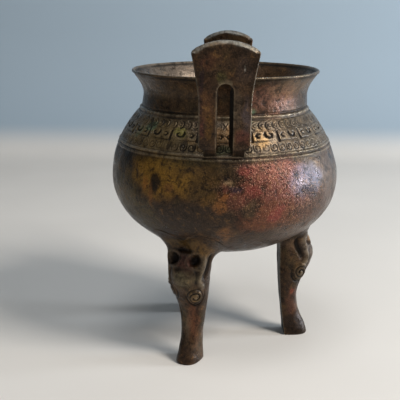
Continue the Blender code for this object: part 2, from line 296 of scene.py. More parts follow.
def shoulder_r(z):
    t = np.maximum(np.asarray(z, float) - BELLY_Z, 0.0) / SHOULDER_RISE
    return BELLY_R * (1.0 - np.minimum(t, 1.0) ** SHOULDER_ROUND) ** (1.0 / SHOULDER_ROUND)


def outer_r(z):
    """Outer radius above the widest place, up to the flare: shoulder, then the upright neck."""
    neck = NECK_R + 0.07 * np.maximum(NECK_Z - np.asarray(z, float), 0.0)
    k = 0.5
    s = shoulder_r(z)
    return np.where(s > neck + 4.0, s, neck + k * np.log1p(np.exp(np.clip((s - neck) / k, -30, 30))))


def bowl_bottom_z(r):
    s = np.minimum(np.asarray(r, float) / BELLY_R, 1.0) ** (BELLY_ROUND / 2.0)
    c = np.sqrt(np.maximum(1.0 - s * s, 0.0))
    return BELLY_Z - BELLY_DROP * c ** (2.0 / BELLY_ROUND)


def bowl_rows():
    """Rings from the underside's middle, up the outside, over the lip, down the inside.

    Each is radius, height, columns and zone: 0 outside, 1 lip, 2 inside."""
    rows = []
    lower = [lower_curve(t) for t in np.linspace(0.0, 1.0, 900)]
    low = [q for q in resample(lower, 1.75) if q[0] < 43.0]
    for r, z in low[1:]:
        n = 63 if r < 3.2 else 126 if r < 8.0 else COLUMNS
        rows.append((r, z, n, 0))
    for r, z in resample([low[-1]] + [q for q in lower if q[0] > low[-1][0] + 0.05], 1.35)[1:-1]:
        rows.append((r, z, 2 * COLUMNS, 0))

    def side(z0, z1, spacing, n, ends=True):
        zs = np.linspace(z0, z1, 300)
        for r, z in resample(np.stack([outer_r(zs), zs], 1), spacing)[0 if ends else 1:]:
            rows.append((r, z, n, 0))

    side(BELLY_Z, 104.3, 1.3, 2 * COLUMNS)
    side(104.3, 107.7, 0.37, 2 * COLUMNS, False)
    side(107.95, 121.35, 0.37, BAND_COLUMNS)
    rows.append((float(outer_r(121.53)), 121.53, BAND_COLUMNS // 2, 0))
    side(121.66, 125.0, 0.27, COLUMNS)
    side(125.0, NECK_Z, 0.9, COLUMNS, False)
    flare = []
    for t in np.linspace(0.0, 1.0, 80):
        z = NECK_Z + t * (LIP_Z - LIP_EDGE - NECK_Z)
        flare.append((NECK_R + (LIP_R - NECK_R) * t ** FLARE_POWER, z))
    for r, z in resample(flare, 0.85)[1:-1]:
        rows.append((r, z, COLUMNS, 0))
    top = [(LIP_R - 0.22, LIP_Z - LIP_EDGE - 0.05), (LIP_R - 0.03, LIP_Z - LIP_EDGE + 0.22),
           (LIP_R, LIP_Z - 0.55), (LIP_R - 0.1, LIP_Z - 0.25), (LIP_R - 0.36, LIP_Z - 0.04),
           (LIP_R - 0.72, LIP_Z - 0.02), (LIP_R - 1.05, LIP_Z - 0.25)]
    for r, z in top:
        rows.append((r, z, COLUMNS, 1))
    inner_neck = NECK_R - NECK_WALL
    flare = []
    for t in np.linspace(0.94, 0.0, 80):
        z = NECK_Z + t * (LIP_Z - NECK_Z)
        flare.append((inner_neck + (LIP_R - 0.5 - inner_neck) * t ** INNER_FLARE_POWER, z))
    for r, z in resample(flare, 0.95)[1:]:
        rows.append((r, z, COLUMNS, 1 if z > 138.5 else 2))
    wall = [(inner_neck, NECK_Z - 0.1), (inner_neck + 0.05, NECK_Z - 2.0),
            (inner_neck + 0.8, NECK_Z - 5.6)]
    for z in np.linspace(UPPER_LINE_Z - 1.4, BELLY_Z + 0.5, 60):
        r0, r1 = shoulder_r(z - 0.5), shoulder_r(z + 0.5)
        n = math.hypot(1.0, r1 - r0)
        wall.append((float(shoulder_r(z)) - WALL / n, z + WALL * (r1 - r0) / n))
    for t in np.linspace(1.0, 0.0, 200):
        wall.append(lower_curve(t, -WALL))
    for r, z in resample(wall, 2.1)[1:-1]:
        n = 63 if r < 5.0 else 126
        rows.append((r, z, n, 2))
    return rows


# Ornament, drawn as grooves: each stroke is a list of (along, up, half width, depth) in mm.
# A squared scroll: an upright with a long thin foot, a small hook and a larger curled hook.
SCROLL_UNIT = 15.9        # degrees round the bowl
SCROLL_START = 14.7       # degrees from the handles' axis to the first upright
SCROLL = (
    ((0.0, 5.3, 0.46, 0.62), (0.0, 3.0, 0.52, 0.85), (0.05, 0.8, 0.58, 0.8)),
    ((0.2, 0.72, 0.24, 0.5), (5.0, 0.66, 0.2, 0.42), (10.3, 0.86, 0.15, 0.3)),
    ((4.05, 4.35, 0.2, 0.4), (2.8, 4.45, 0.26, 0.55), (2.0, 3.6, 0.36, 0.7),
     (2.7, 2.75, 0.36, 0.7), (4.0, 2.8, 0.2, 0.4)),
    ((6.95, 5.35, 0.3, 0.5), (6.5, 4.1, 0.58, 0.85), (7.1, 2.95, 0.55, 0.85),
     (8.4, 2.6, 0.36, 0.65), (9.9, 3.0, 0.46, 0.75), (10.15, 4.0, 0.46, 0.75),
     (8.95, 4.65, 0.2, 0.4)),
)
SPIRAL_UNIT = 4.8
UPPER_SPIRAL = (
    ((2.1, 4.3, 0.18, 0.3), (1.0, 3.75, 0.24, 0.42), (0.4, 2.5, 0.3, 0.5), (0.6, 1.1, 0.3, 0.5),
     (1.4, 0.45, 0.26, 0.42), (2.75, 0.5, 0.16, 0.3)),
    ((2.85, 3.2, 0.16, 0.28), (2.0, 3.05, 0.22, 0.38), (1.55, 2.2, 0.24, 0.42),
     (2.1, 1.5, 0.2, 0.36), (2.8, 1.9, 0.14, 0.24)),
)
LOWER_SPIRAL = (
    ((0.5, 3.9, 0.18, 0.32), (0.38, 2.2, 0.25, 0.46), (0.75, 0.95, 0.27, 0.5),
     (1.85, 0.36, 0.24, 0.44), (3.15, 0.65, 0.24, 0.44), (3.65, 1.8, 0.23, 0.42),
     (3.25, 3.0, 0.21, 0.4), (2.3, 3.5, 0.2, 0.38), (1.5, 3.0, 0.22, 0.42),
     (1.4, 2.15, 0.22, 0.42), (1.95, 1.55, 0.2, 0.36), (2.5, 2.0, 0.15, 0.26)),
)


def strokes_depth(x, y, strokes, soft):
    """Depth of the grooves at places x, y."""
    out = np.zeros(len(x))
    for stroke in strokes:
        for (x0, y0, w0, d0), (x1, y1, w1, d1) in zip(stroke[:-1], stroke[1:]):
            dx, dy = x1 - x0, y1 - y0
            t = np.clip(((x - x0) * dx + (y - y0) * dy) / (dx * dx + dy * dy), 0.0, 1.0)
            d = np.hypot(x - x0 - t * dx, y - y0 - t * dy)
            w = w0 + (w1 - w0) * t
            deep = d0 + (d1 - d0) * t
            out = np.maximum(out, deep * step(-d, -w - soft, -w + soft * 1.2))
    return out


def unit_value(k, seed):
    """One even value from -1 to 1 for each whole-number unit."""
    z = np.zeros_like(k)
    return lattice(k, z, z, seed)


def ornament(turn, z, p):
    """Depth of the band's ornament. turn is degrees from the camera-side handle's axis, signed."""
    a = np.abs(turn)
    side = np.where(turn < 0.0, 0.0, 1.0)
    wob = 0.10 * noise3(p, 3.1, 5)
    # large scrolls
    k = np.floor((a - SCROLL_START + 1.1) / SCROLL_UNIT)
    jit = unit_value(k * 2 + side, 11)
    x = (a - SCROLL_START - SCROLL_UNIT * k) * 0.826 + 0.12 * jit + wob
    y = (z - 112.05) * 1.2 + 0.10 * unit_value(k * 2 + side, 12) + wob
    deep = 0.86 + 0.14 * unit_value(k * 2 + side, 13)
    worn = 0.55 + 0.45 * step(noise3(p, 9.0, 21), -0.55, 0.15)
    d = strokes_depth(x, y, SCROLL, 0.20) * deep * (0.75 + 0.25 * worn)
    d = np.where((z > 111.9) & (z < 117.1), d, 0.0)
    # small spirals above and below
    fade = 1.0 - 0.55 * step(a, 46.0, 62.0) * (1.0 - step(a, 100.0, 125.0))
    for strokes, z0, scale, up, seed, low, high in (
            (UPPER_SPIRAL, 117.3, 0.765, 1.24, 31, 117.0, 121.4),
            (LOWER_SPIRAL, 108.15, 0.875, 1.14, 41, 108.0, 111.9)):
        k = np.floor(a / SPIRAL_UNIT)
        x = (a - SPIRAL_UNIT * k) * scale + 0.16 * unit_value(k * 2 + side, seed) + wob
        y = (z - z0) * up + 0.14 * unit_value(k * 2 + side, seed + 1) + wob
        deep = 0.82 + 0.18 * unit_value(k * 2 + side, seed + 2)
        e = strokes_depth(x, y, strokes, 0.16) * deep * fade * worn
        d = np.maximum(d, np.where((z > low) & (z < high), e, 0.0))
    # thin lines between the rows
    for line_z, deep in ((117.1, 0.14), (111.95, 0.13)):
        d = np.maximum(d, deep * hump(z + 0.05 * wob, line_z, 0.32) * worn)
    return d


def bowl_relief(zone):
    def relief(p, n):
        x, y, z = p.T
        turn = np.degrees(np.arctan2(-y, -x))          # 0 at -X, positive towards -Y
        outside, inside = zone == 0, zone == 2
        h = 0.16 * noise3(p, 16.0, 1) + 0.07 * noise3(p, 6.5, 2)
        h += 0.035 * noise3(p, 2.6, 3)
        h *= np.where(zone == 1, 0.55, 1.0) * np.where((z > 104.0) & (z < 125.0) & outside, 0.45, 1.0)
        # scattered shallow pits
        pit = step(noise3(p, 3.4, 8), 0.52, 0.8) * step(noise3(p, 17.0, 9), -0.1, 0.4)
        h -= 0.14 * pit * np.where(outside, 1.0, 0.6)
        dirt_and_shade = np.zeros(len(p)) + 0.35 * pit
        wear_and_highlight = np.zeros(len(p))
        w = 0.16 * noise3(p, 14.0, 4)                   # the lines wander a little
        lines = ((122.7, 0.72, 0.62, 1.0), (123.9, 0.62, -0.42, 0.0), (121.6, 0.5, -0.36, 0.0),
                 (107.0, 0.58, 0.50, 0.9), (106.1, 0.45, -0.30, 0.0), (105.2, 0.6, 0.30, 0.6),
                 (107.75, 0.4, -0.26, 0.0), (104.3, 0.6, -0.22, 0.0), (139.3, 0.8, -0.42, 0.0))
        for line_z, half, amount, shine in lines:
            m = hump(z + w, line_z, half * 1.15) * outside
            h += amount * m * (0.85 + 0.15 * noise3(p, 7.0, 6))
            if amount < 0.0:
                dirt_and_shade = np.maximum(dirt_and_shade, 1.5 * -amount * m * step(noise3(p, 12.0, 10), -0.8, 0.3))
            else:
                wear_and_highlight = np.maximum(wear_and_highlight, shine * m)
        band = outside & (z > 107.6) & (z < 121.7)
        d = np.zeros(len(p))
        if band.any():
            d[band] = ornament(turn[band], z[band] + w[band], p[band])
        h -= d
        dirt_and_shade = np.maximum(dirt_and_shade, np.clip(d / 0.5, 0.0, 1.0))
        wear_and_highlight = np.maximum(wear_and_highlight, np.where(band, 0.42 * (1.0 - np.clip(d / 0.2, 0.0, 1.0)), 0.0))
        edge = (zone == 1)
        wear_and_highlight = np.maximum(wear_and_highlight, np.where(edge, 0.42, 0.0) * step(z, 140.4, 140.8))
        # painted shade in a band just under the lip's edge, where the flare overhangs
        dirt_and_shade = np.maximum(dirt_and_shade, 0.75 * hump(z, 139.7, 0.9) * (outside | (edge & (z < 140.4))) * step(noise3(p, 15.0, 11), -1.0, 0.2))
        # the red corroded patch is the most grainy
        grainy = np.zeros(len(p))
        for turn0, z0, wide, tall in ((22.0, 92.0, 26.0, 18.0), (38.0, 88.0, 18.0, 18.0), (-112.0, 98.0, 20.0, 12.0)):
            d = np.hypot((turn - turn0) / wide, (z - z0) / tall) + 0.25 * noise3(p, 5.0, 7)
            grainy = np.maximum(grainy, 1.0 - step(d, 0.6, 1.15))
        return h, dirt_and_shade, wear_and_highlight, grainy * outside
    return relief


def lean(verts):
    """The casting isn't quite true: the shoulder stands a little to one side, the belly to the other."""
    z = verts[:, 2]
    off = 0.5 * step(z, 92.0, 102.0) * (1.0 - step(z, 120.0, 131.0)) - 0.3 * (1.0 - step(z, 70.0, 86.0))
    out = verts.copy()
    out[:, 1] += off
    return out


def make_bowl():
    rows = bowl_rows()
    verts, zone, starts = [np.array([[0.0, 0.0, BELLY_Z - BELLY_DROP]])], [0], []
    count = 1
    for r, z, n, kind in rows:
        a = np.arange(n) * 2.0 * math.pi / n
        verts.append(np.stack([r * np.cos(a), r * np.sin(a), np.full(n, z)], 1))
        starts.append((count, n))
        zone.extend([kind] * n)
        count += n
    verts.append(np.array([[0.0, 0.0, BELLY_Z - BELLY_DROP + WALL]]))
    zone.append(2)
    verts = np.vstack(verts)
    quads, tris = [], []
    f, n = starts[0]
    j = np.arange(n)
    tris.append(np.stack([np.zeros(n, int), f + (j + 1) % n, f + j], 1))
    for (fa, na), (fb, nb) in zip(starts[:-1], starts[1:]):
        bridge(fa, na, fb, nb, quads, tris)
    f, n = starts[-1]
    j = np.arange(n)
    tris.append(np.stack([np.full(n, count), f + j, f + (j + 1) % n], 1))
    verts = lean(verts)
    patches = [(at(t, z), 180.0 + t, (14.0 if w > 6.0 else 8.0, w, u), s, k, c)
               for t, z, w, u, s, k, c in BROAD_PATCHES + SMALL_PATCHES]
    return build('bowl', verts, np.vstack(quads), np.vstack(tris), bowl_relief(np.array(zone)), patches)


# ------------------------------------------------------------------ handles
def handle_half(z, half_top, crown_z):
    """Half width of the outline at a height, below the corners."""
    corner = crown_z - HANDLE_ARCH
    t = np.clip((z - HANDLE_WAIST_Z) / (corner - 1.4 - HANDLE_WAIST_Z), 0.0, 1.0)
    return HANDLE_HALF_STEM + (half_top - HANDLE_HALF_STEM) * t ** HANDLE_FLARE_POWER


def make_handle(name, angle, half_top, crown_z, lean_mm):
    corner = crown_z - HANDLE_ARCH
    spring = SLOT_TOP_Z - SLOT_HALF
    low = 100.0
    # outer outline of the right half, from the foot up to the crown
    outer = [(HANDLE_HALF_STEM - 2.3 * (1.0 - float(step(z, 107.6, 114.0))) ** 2, z)
             for z in np.linspace(low, 118.0, 30)]
    for z in np.linspace(119.0, corner - 1.5, 60):
        outer.append((float(handle_half(z, half_top, crown_z)), z))
    turn_pts = rounded([(half_top - 0.02, corner - 1.5), (half_top - 0.1, corner - 0.7),
                        (half_top - 0.55, corner - 0.05), (half_top - 1.5, corner + 0.62)], 14)
    outer += [tuple(q) for q in turn_pts[1:]]
    for a in np.linspace(half_top - 1.6, 0.0, 60):
        outer.append((a, corner + HANDLE_ARCH * (1.0 - (a / half_top) ** 2)))
    outer = np.array(outer)
    d = np.r_[0.0, np.cumsum(np.hypot(*np.diff(outer, axis=0).T))]
    split = np.interp(spring, outer[:69, 1], d[:69])       # where the slot's arch springs

    def outer_at(s):
        return np.stack([np.interp(s, d, outer[:, 0]), np.interp(s, d, outer[:, 1])], 1)

    n_prong, n_arch = 62, 70
    s1 = np.linspace(0.0, split, n_prong, endpoint=False)
    s2 = np.linspace(split, d[-1], n_arch)
    o = np.vstack([outer_at(s1), outer_at(s2)])
    i1 = np.stack([np.full(n_prong, SLOT_HALF), o[:n_prong, 1]], 1)
    w = np.linspace(0.0, math.pi / 2, n_arch)
    i2 = np.stack([SLOT_HALF * np.cos(w), spring + SLOT_HALF * np.sin(w)], 1)
    inn = np.vstack([i1, i2])
    # mirror to the left half
    flip = np.array([-1.0, 1.0])
    o = np.vstack([o, (o[:-1] * flip)[::-1]])
    inn = np.vstack([inn, (inn[:-1] * flip)[::-1]])
    stations = len(o)

    # the feet end inside the bowl's wall; front and back faces, out and up, along the height value w used by the outline
    bend_top = 117.0
    front_low = rounded([(51.0, 106.0), (51.8, 106.5), (52.6, 107.0), (54.6, 108.7), (56.1, 110.1),
                         (56.85, 110.95), (HANDLE_OUT_LOW - 0.02, 112.0), (HANDLE_OUT_LOW + 0.04, 114.2),
                         (HANDLE_OUT_LOW + 0.12, bend_top)], 90)
    back_low = rounded([(47.6, 112.0), (48.9, 112.5), (50.1, 112.9), (51.7, 114.0), (52.6, 115.2),
                        (53.08, 116.3), (HANDLE_OUT_LOW + 0.12 - HANDLE_T, bend_top + 0.6)], 60)
    front_w = np.linspace(low, bend_top, 90)
    back_w = np.linspace(low, bend_top, 60)

    def faces_at(z):
        up = HANDLE_OUT_LOW + (HANDLE_OUT_TOP - HANDLE_OUT_LOW) * (z - ELBOW_Z) / (158.3 - ELBOW_Z)
        fx = np.where(z > bend_top, up, np.interp(z, front_w, front_low[:, 0]))
        fz = np.where(z > bend_top, z, np.interp(z, front_w, front_low[:, 1]))
        bx = np.where(z > bend_top, up - HANDLE_T, np.interp(z, back_w, back_low[:, 0]))
        blend = np.clip((z - bend_top) / 4.0, 0.0, 1.0)
        bz = np.where(z > bend_top, z + 0.6 * (1.0 - blend), np.interp(z, back_w, back_low[:, 1]))
        return fx, fz, bx, bz

    across, deep_n = 34, 6

    def bevel(c):
        """Corner cut off flat at 45 degrees with crisp, barely softened edges: offsets from it."""
        s = min(0.10, 0.25 * c)
        return ((c + s, 0.0), (c, 0.3 * s), (c - 1.2 * s, 1.2 * s), (0.5 * c, 0.5 * c),
                (1.2 * s, c - 1.2 * s), (0.3 * s, c), (0.0, c + s))

    def loop(length, c_front, c_back, c_in, draft):
        """Section from the slot (0) to the outer edge (length), depth 0 back to 1 front."""
        t = HANDLE_T
        pts = []
        for a, b in bevel(c_in)[::-1]:                         # slot edge, front corner
            pts.append((a, t - b))
        for s in np.linspace(c_in + 0.1, length - c_front - 0.1, across)[1:-1]:
            pts.append((s, t))
        for a, b in bevel(c_front):                            # outer edge, front corner
            pts.append((length - a, t - b))
        for v in np.linspace(t - c_front - 0.1, c_back + 0.1, deep_n)[1:-1]:
            pts.append((length, v))
        for a, b in bevel(c_back)[::-1]:
            pts.append((length - a, b))
        for s in np.linspace(length - c_back - 0.1, c_in + draft + 0.1, across)[1:-1]:
            pts.append((s, 0.0))
        for a, b in bevel(c_in):
            pts.append((a + draft, b))
        for v in np.linspace(c_in + 0.1, t - c_in - 0.1, deep_n)[1:-1]:
            pts.append((draft * (1.0 - v / t), v))
        return np.array(pts)

    verts, edge, face_kind = [], [], []
    for k in range(stations):
        a, b = inn[k], o[k]
        length = float(np.hypot(*(b - a)))
        # the arched top is cut off at a wide bevel; the sides only have a narrow one
        on_top = float(step(b[1], corner - 1.0, corner + 0.4))
        c_front = 0.42 + 1.2 * on_top
        c_back = 0.40 + 1.0 * on_top
        # the slot narrows a little towards the back, more on one side
        draft = -(1.6 if a[0] > 0.0 else 0.25) * float(step(spring + SLOT_HALF - a[1], 0.0, SLOT_HALF))
        pts = loop(length, c_front, c_back, 0.30, draft)
        dirn = (b - a) / length
        flat = a + pts[:, :1] * dirn
        fx, fz, bx, bz = faces_at(flat[:, 1])
        f = pts[:, 1] / HANDLE_T
        # near the edge of the arch, keep the height of the outline itself
        px = bx + f * (fx - bx)
        pz = bz + f * (fz - bz)
        verts.append(np.stack([px, flat[:, 0] + lean_mm * (corner - flat[:, 1]) / (corner - low), pz], 1))
        from_edge = np.minimum(length - pts[:, 0], pts[:, 0])
        corner_front = np.hypot(from_edge, HANDLE_T - pts[:, 1])
        edge.append(np.clip(1.0 - corner_front / (0.9 + 1.5 * on_top), 0.0, 1.0))
    n = len(verts[0])
    v = np.vstack(verts)
    edge = np.concatenate(edge)
    quads, tris = [], []
    for k in range(stations - 1):
        j = np.arange(n)
        m = (j + 1) % n
        quads.append(np.stack([k * n + j, k * n + m, (k + 1) * n + m, (k + 1) * n + j], 1))
    for k, order in ((0, 1), (stations - 1, -1)):               # feet, inside the wall
        hub = len(v)
        v = np.vstack([v, v[k * n:(k + 1) * n].mean(0)])
        edge = np.r_[edge, 0.0]
        j = np.arange(n)
        m = (j + 1) % n
        t = np.stack([np.full(n, hub), k * n + m, k * n + j], 1)
        tris.append(t if order > 0 else t[:, ::-1])
    turn = math.radians(angle)
    rot = np.array([[math.cos(turn), -math.sin(turn), 0], [math.sin(turn), math.cos(turn), 0], [0, 0, 1]])
    v = v @ rot.T

    def relief(p, nrm):
        h = 0.10 * noise3(p, 11.0, 61) + 0.045 * noise3(p, 4.0, 62) + 0.02 * noise3(p, 1.7, 63)
        h -= 0.05 * edge * step(noise3(p, 2.4, 64), 0.0, 0.6)
        pit = step(noise3(p, 2.1, 65), 0.62, 0.85)
        h -= 0.07 * pit
        # painted shade under the elbow and down the slot's sides, heavier on the slot side that faces away from the
        # light
        out = (nrm[:, 0] * p[:, 0] + nrm[:, 1] * p[:, 1]) / np.hypot(p[:, 0], p[:, 1])
        under = step(-nrm[:, 2], 0.25, 0.6) * (1.0 - step(p[:, 2], 111.0, 113.5))
        lateral = (-p[:, 0] * math.sin(turn) + p[:, 1] * math.cos(turn)
                   - lean_mm * (corner - p[:, 2]) / (corner - low))
        across_now = np.abs(lateral)
        jamb = (1.0 - step(across_now, SLOT_HALF + 0.05, SLOT_HALF + 0.3)) * (1.0 - step(np.abs(out), 0.3, 0.7))
        dirt_and_shade = np.maximum(0.3 * pit, np.maximum(0.45 * under * step(noise3(p, 3.0, 66), -0.9, 0.3),
                                                np.where(lateral > 0.0, 0.80, 0.30) * jamb))
        # the front corners and the bevelled arch are painted lighter: worn edges with a painted highlight on them
        return h, dirt_and_shade, 0.75 * edge * (1.0 - jamb)
    index = [h[0] for h in HANDLES].index(name)
    patches = [(on_handle(index, a, z), angle, (1.8, w, u), s, k, c)
               for i, a, z, w, u, s, k, c in HANDLE_PATCHES if i == index]
    # the arched top is painted a pale grey: worn metal with a painted highlight of the light from above
    for a in np.linspace(-0.92, 0.92, 13) * half_top:
        rise = corner + HANDLE_ARCH * (1.0 - (a / half_top) ** 2)
        patches.append((on_handle(index, a, rise), angle, (5.5, 2.2, 1.0), 0.5, 0.42, (134, 136, 132)))
    return build(name, v, np.vstack(quads), np.vstack(tris), relief, patches)


# ------------------------------------------------------------------ legs
def leg_ring(z, counts=(18, 18, 132)):
    """Kinds of the ring's points (flat back, sides, front) and where each lies along its part, the front's as an angle
    round it. z is not used.
    """
    nb, ns, nf = counts
    t_back = np.linspace(1.0, -1.0, nb + 1)[:-1]               # flat back, + side to - side
    t_side = np.linspace(0.0, 1.0, ns + 1)[:-1]
    ang = np.linspace(-90.0, 90.0, nf + 1)
    kind = np.r_[np.zeros(nb), np.ones(ns), np.full(nf + 1, 2), np.full(ns - 1, 3)]
    par = np.r_[t_back, t_side, ang, t_side[::-1][:-1]]
    return kind, par


LEG_KIND, LEG_PAR = leg_ring(None)
LEG_N = len(LEG_KIND)


def leg_points(z):
    """Places (out, across) round the ring for an array of heights, one per ring point."""
    outer, inner = table(LEG_STATIONS, z, 1), table(LEG_STATIONS, z, 2)
    half, back = table(LEG_STATIONS, z, 3), table(LEG_STATIONS, z, 4)
    widest = inner + 0.42 * (outer - inner)
    u, v = np.zeros(LEG_N), np.zeros(LEG_N)
    k = LEG_KIND == 0
    u[k], v[k] = inner[k], LEG_PAR[k] * back[k]
    for kind, sign in ((1, -1.0), (3, 1.0)):
        k = LEG_KIND == kind
        t = LEG_PAR[k]
        cu, cv = inner[k] + 0.34 * (widest[k] - inner[k]), back[k] + 0.97 * (half[k] - back[k])
        u[k] = (1 - t) ** 2 * inner[k] + 2 * t * (1 - t) * cu + t * t * widest[k]
        v[k] = sign * ((1 - t) ** 2 * back[k] + 2 * t * (1 - t) * cv + t * t * half[k])
    k = LEG_KIND == 2
    a = np.radians(LEG_PAR[k])
    c, s = np.maximum(np.cos(a), 0.0), np.sin(a)
    u[k] = widest[k] + (outer[k] - widest[k]) * c ** (2.0 / LEG_ROUND)
    v[k] = half[k] * np.sign(s) * np.abs(s) ** (2.0 / LEG_ROUND)
    return u, v


def leg_spot(z, a):
    """Place on the plain leg at a height and an angle round its front, as (out, across, up)."""
    outer, inner = float(table(LEG_STATIONS, z, 1)), float(table(LEG_STATIONS, z, 2))
    half = float(table(LEG_STATIONS, z, 3))
    widest = inner + 0.42 * (outer - inner)
    c, s = max(math.cos(math.radians(a)), 0.0), math.sin(math.radians(a))
    return np.array([widest + (outer - widest) * c ** (2.0 / LEG_ROUND),
                     half * math.copysign(abs(s) ** (2.0 / LEG_ROUND), s), z])


def path_distance(p, spots):
    """Distance from points to a smooth line through spots, and how far along it (0 to 1)."""
    line = rounded(spots, 8 * len(spots))
    best = np.full(len(p), 1e9)
    along = np.zeros(len(p))
    n = len(line) - 1
    for i in range(n):
        a, b = line[i], line[i + 1]
        ab = b - a
        t = np.clip(((p - a) @ ab) / max(ab @ ab, 1e-9), 0.0, 1.0)
        d = np.linalg.norm(p - a - t[:, None] * ab, axis=1)
        k = d < best
        best[k] = d[k]
        along[k] = (i + t[k]) / n
    return best, along


def mask_relief(q, scrolls):
    """Beast mask on the upper leg: q is points (out, across, up). Gives height, sunk and bare."""
    h, dirt_and_shade, wear_and_highlight = np.zeros(len(q)), np.zeros(len(q)), np.zeros(len(q))
    u, v, z = q.T
    front = step(u, 32.0, 36.0)

    def add(amount, m, dirt=0.9, shine=0.6):
        nonlocal h, dirt_and_shade, wear_and_highlight
        h = h + amount * m
        if amount < 0.0:
            dirt_and_shade = np.maximum(dirt_and_shade, np.clip(m * dirt, 0.0, 1.0))
        else:
            wear_and_highlight = np.maximum(wear_and_highlight, np.clip(m * shine, 0.0, 1.0))

    # crease that closes the mask off from the root, nose and rounded muzzle
    add(-0.50, hump(z, 58.6, 1.3) * hump(v, -2.5, 10.5) ** 0.5 * front, dirt=0.6)
    add(0.45, hump(z, 56.6, 1.8) * hump(v, 0.0, 3.0) * front, shine=0.3)
    add(0.95, hump(z, 45.0, 7.4) * hump(v, 0.0, 9.2) * front, shine=0.35)
    add(0.40, hump(z, 52.5, 5.0) * hump(v, 0.0, 2.2) * front, shine=0.1)
    add(-0.26, hump(z, 49.8, 1.5) * hump(v, 0.0, 6.4) ** 0.5 * front, dirt=0.35)
    add(-0.16, hump(z, 46.4, 0.9) * hump(v, 1.0, 5.4) ** 0.5 * front, dirt=0.25)
    add(-0.24, hump(z, 41.4, 1.5) * hump(v, 0.0, 4.0) ** 0.5 * front, dirt=0.35)
    for s, scroll, lift, high in ((-1.0, scrolls[0], scrolls[2], scrolls[3]), (1.0, scrolls[1], 0.0, 1.25)):
        # round socket with a small eyeball in it and a raised rim
        eye = leg_spot(54.0, s * 30.0)
        d = np.linalg.norm((q - eye) * np.array([1.0, 0.93, 1.0]), axis=1) + 0.45 * noise3(q, 2.6, 78)
        add(-2.4, 1.0 - step(d, 0.9, 3.5), dirt=0.85)
        add(0.35, hump(d, 3.9, 1.4), shine=0.25)
        ball = leg_spot(53.2, s * 32.0)
        d = np.linalg.norm(q - ball - np.array([-1.6, 0.0, 0.0]), axis=1)
        add(1.0, 1.0 - step(d, 0.5, 1.35), shine=0.0)
        # brow, then the ridge that runs round the eye and down the cheek in an S
        d, t = path_distance(q, [leg_spot(57.4, s * 16.0), leg_spot(58.4, s * 34.0),
                                 leg_spot(57.4, s * 50.0), leg_spot(54.2, s * 59.0),
                                 leg_spot(50.6, s * 60.0), leg_spot(47.4, s * 55.0),
                                 leg_spot(44.6, s * 52.0), leg_spot(42.6, s * 57.0),
                                 leg_spot(41.0, s * 64.0)])
        add(0.95, hump(d, 0.0, 2.4) * (0.35 + 0.65 * step(t, 0.1, 0.4)), shine=0.5)
        # crease behind that ridge
        d, t = path_distance(q, [leg_spot(59.6, s * 64.0), leg_spot(56.8, s * 76.0),
                                 leg_spot(52.2, s * 85.0), leg_spot(47.4, s * 76.0),
                                 leg_spot(44.2, s * 68.0)])
        add(-1.55, hump(d, 0.0, 2.2) * np.sin(np.clip(t, 0.0, 1.0) * math.pi) ** 0.4)
        # faint line from the muzzle to the cheek
        d, t = path_distance(q, [leg_spot(49.6, s * 36.0), leg_spot(46.6, s * 44.0),
                                 leg_spot(43.0, s * 42.0)])
        add(-0.30, hump(d, 0.0, 1.2), dirt=0.5)
        # jaw scroll: an upright oval boss with a curled groove and a pip
        boss = leg_spot(35.8 + lift, scroll)
        rel = (q - boss) * np.array([1.0, 1.0, 0.76])
        d = np.linalg.norm(rel, axis=1)
        add(high, 1.0 - step(d, 2.0, 4.8), shine=0.12)
        add(-0.45 * high, hump(d, 4.7, 0.9) * step(-z, -39.5 - lift, -33.5 - lift), dirt=0.7)
        around = np.arctan2(rel[:, 2], rel @ np.array([0.0, 1.0, 0.0]))
        curl = d - 0.22 * s * around
        add(-0.40 * high, hump(curl, 3.15, 0.6), dirt=0.6)
        add(-0.50 * high, hump(curl, 1.65, 0.6), dirt=0.8)
        add(0.25 * high, hump(d, 0.0, 1.0), shine=0.6)
        # edge along the side of the shank, below the boss
        d, t = path_distance(q, [leg_spot(30.4, s * 46.0), leg_spot(27.5, s * 38.0),
                                 leg_spot(24.0, s * 34.0)])
        add(-0.22, hump(d, 0.0, 1.3), dirt=0.4)
    # soft arris down the front of the shank
    add(0.25, hump(z, 20.0, 13.0) * hump(v, 0.0, 2.6) * front, shine=0.3)
    return h, dirt_and_shade, wear_and_highlight


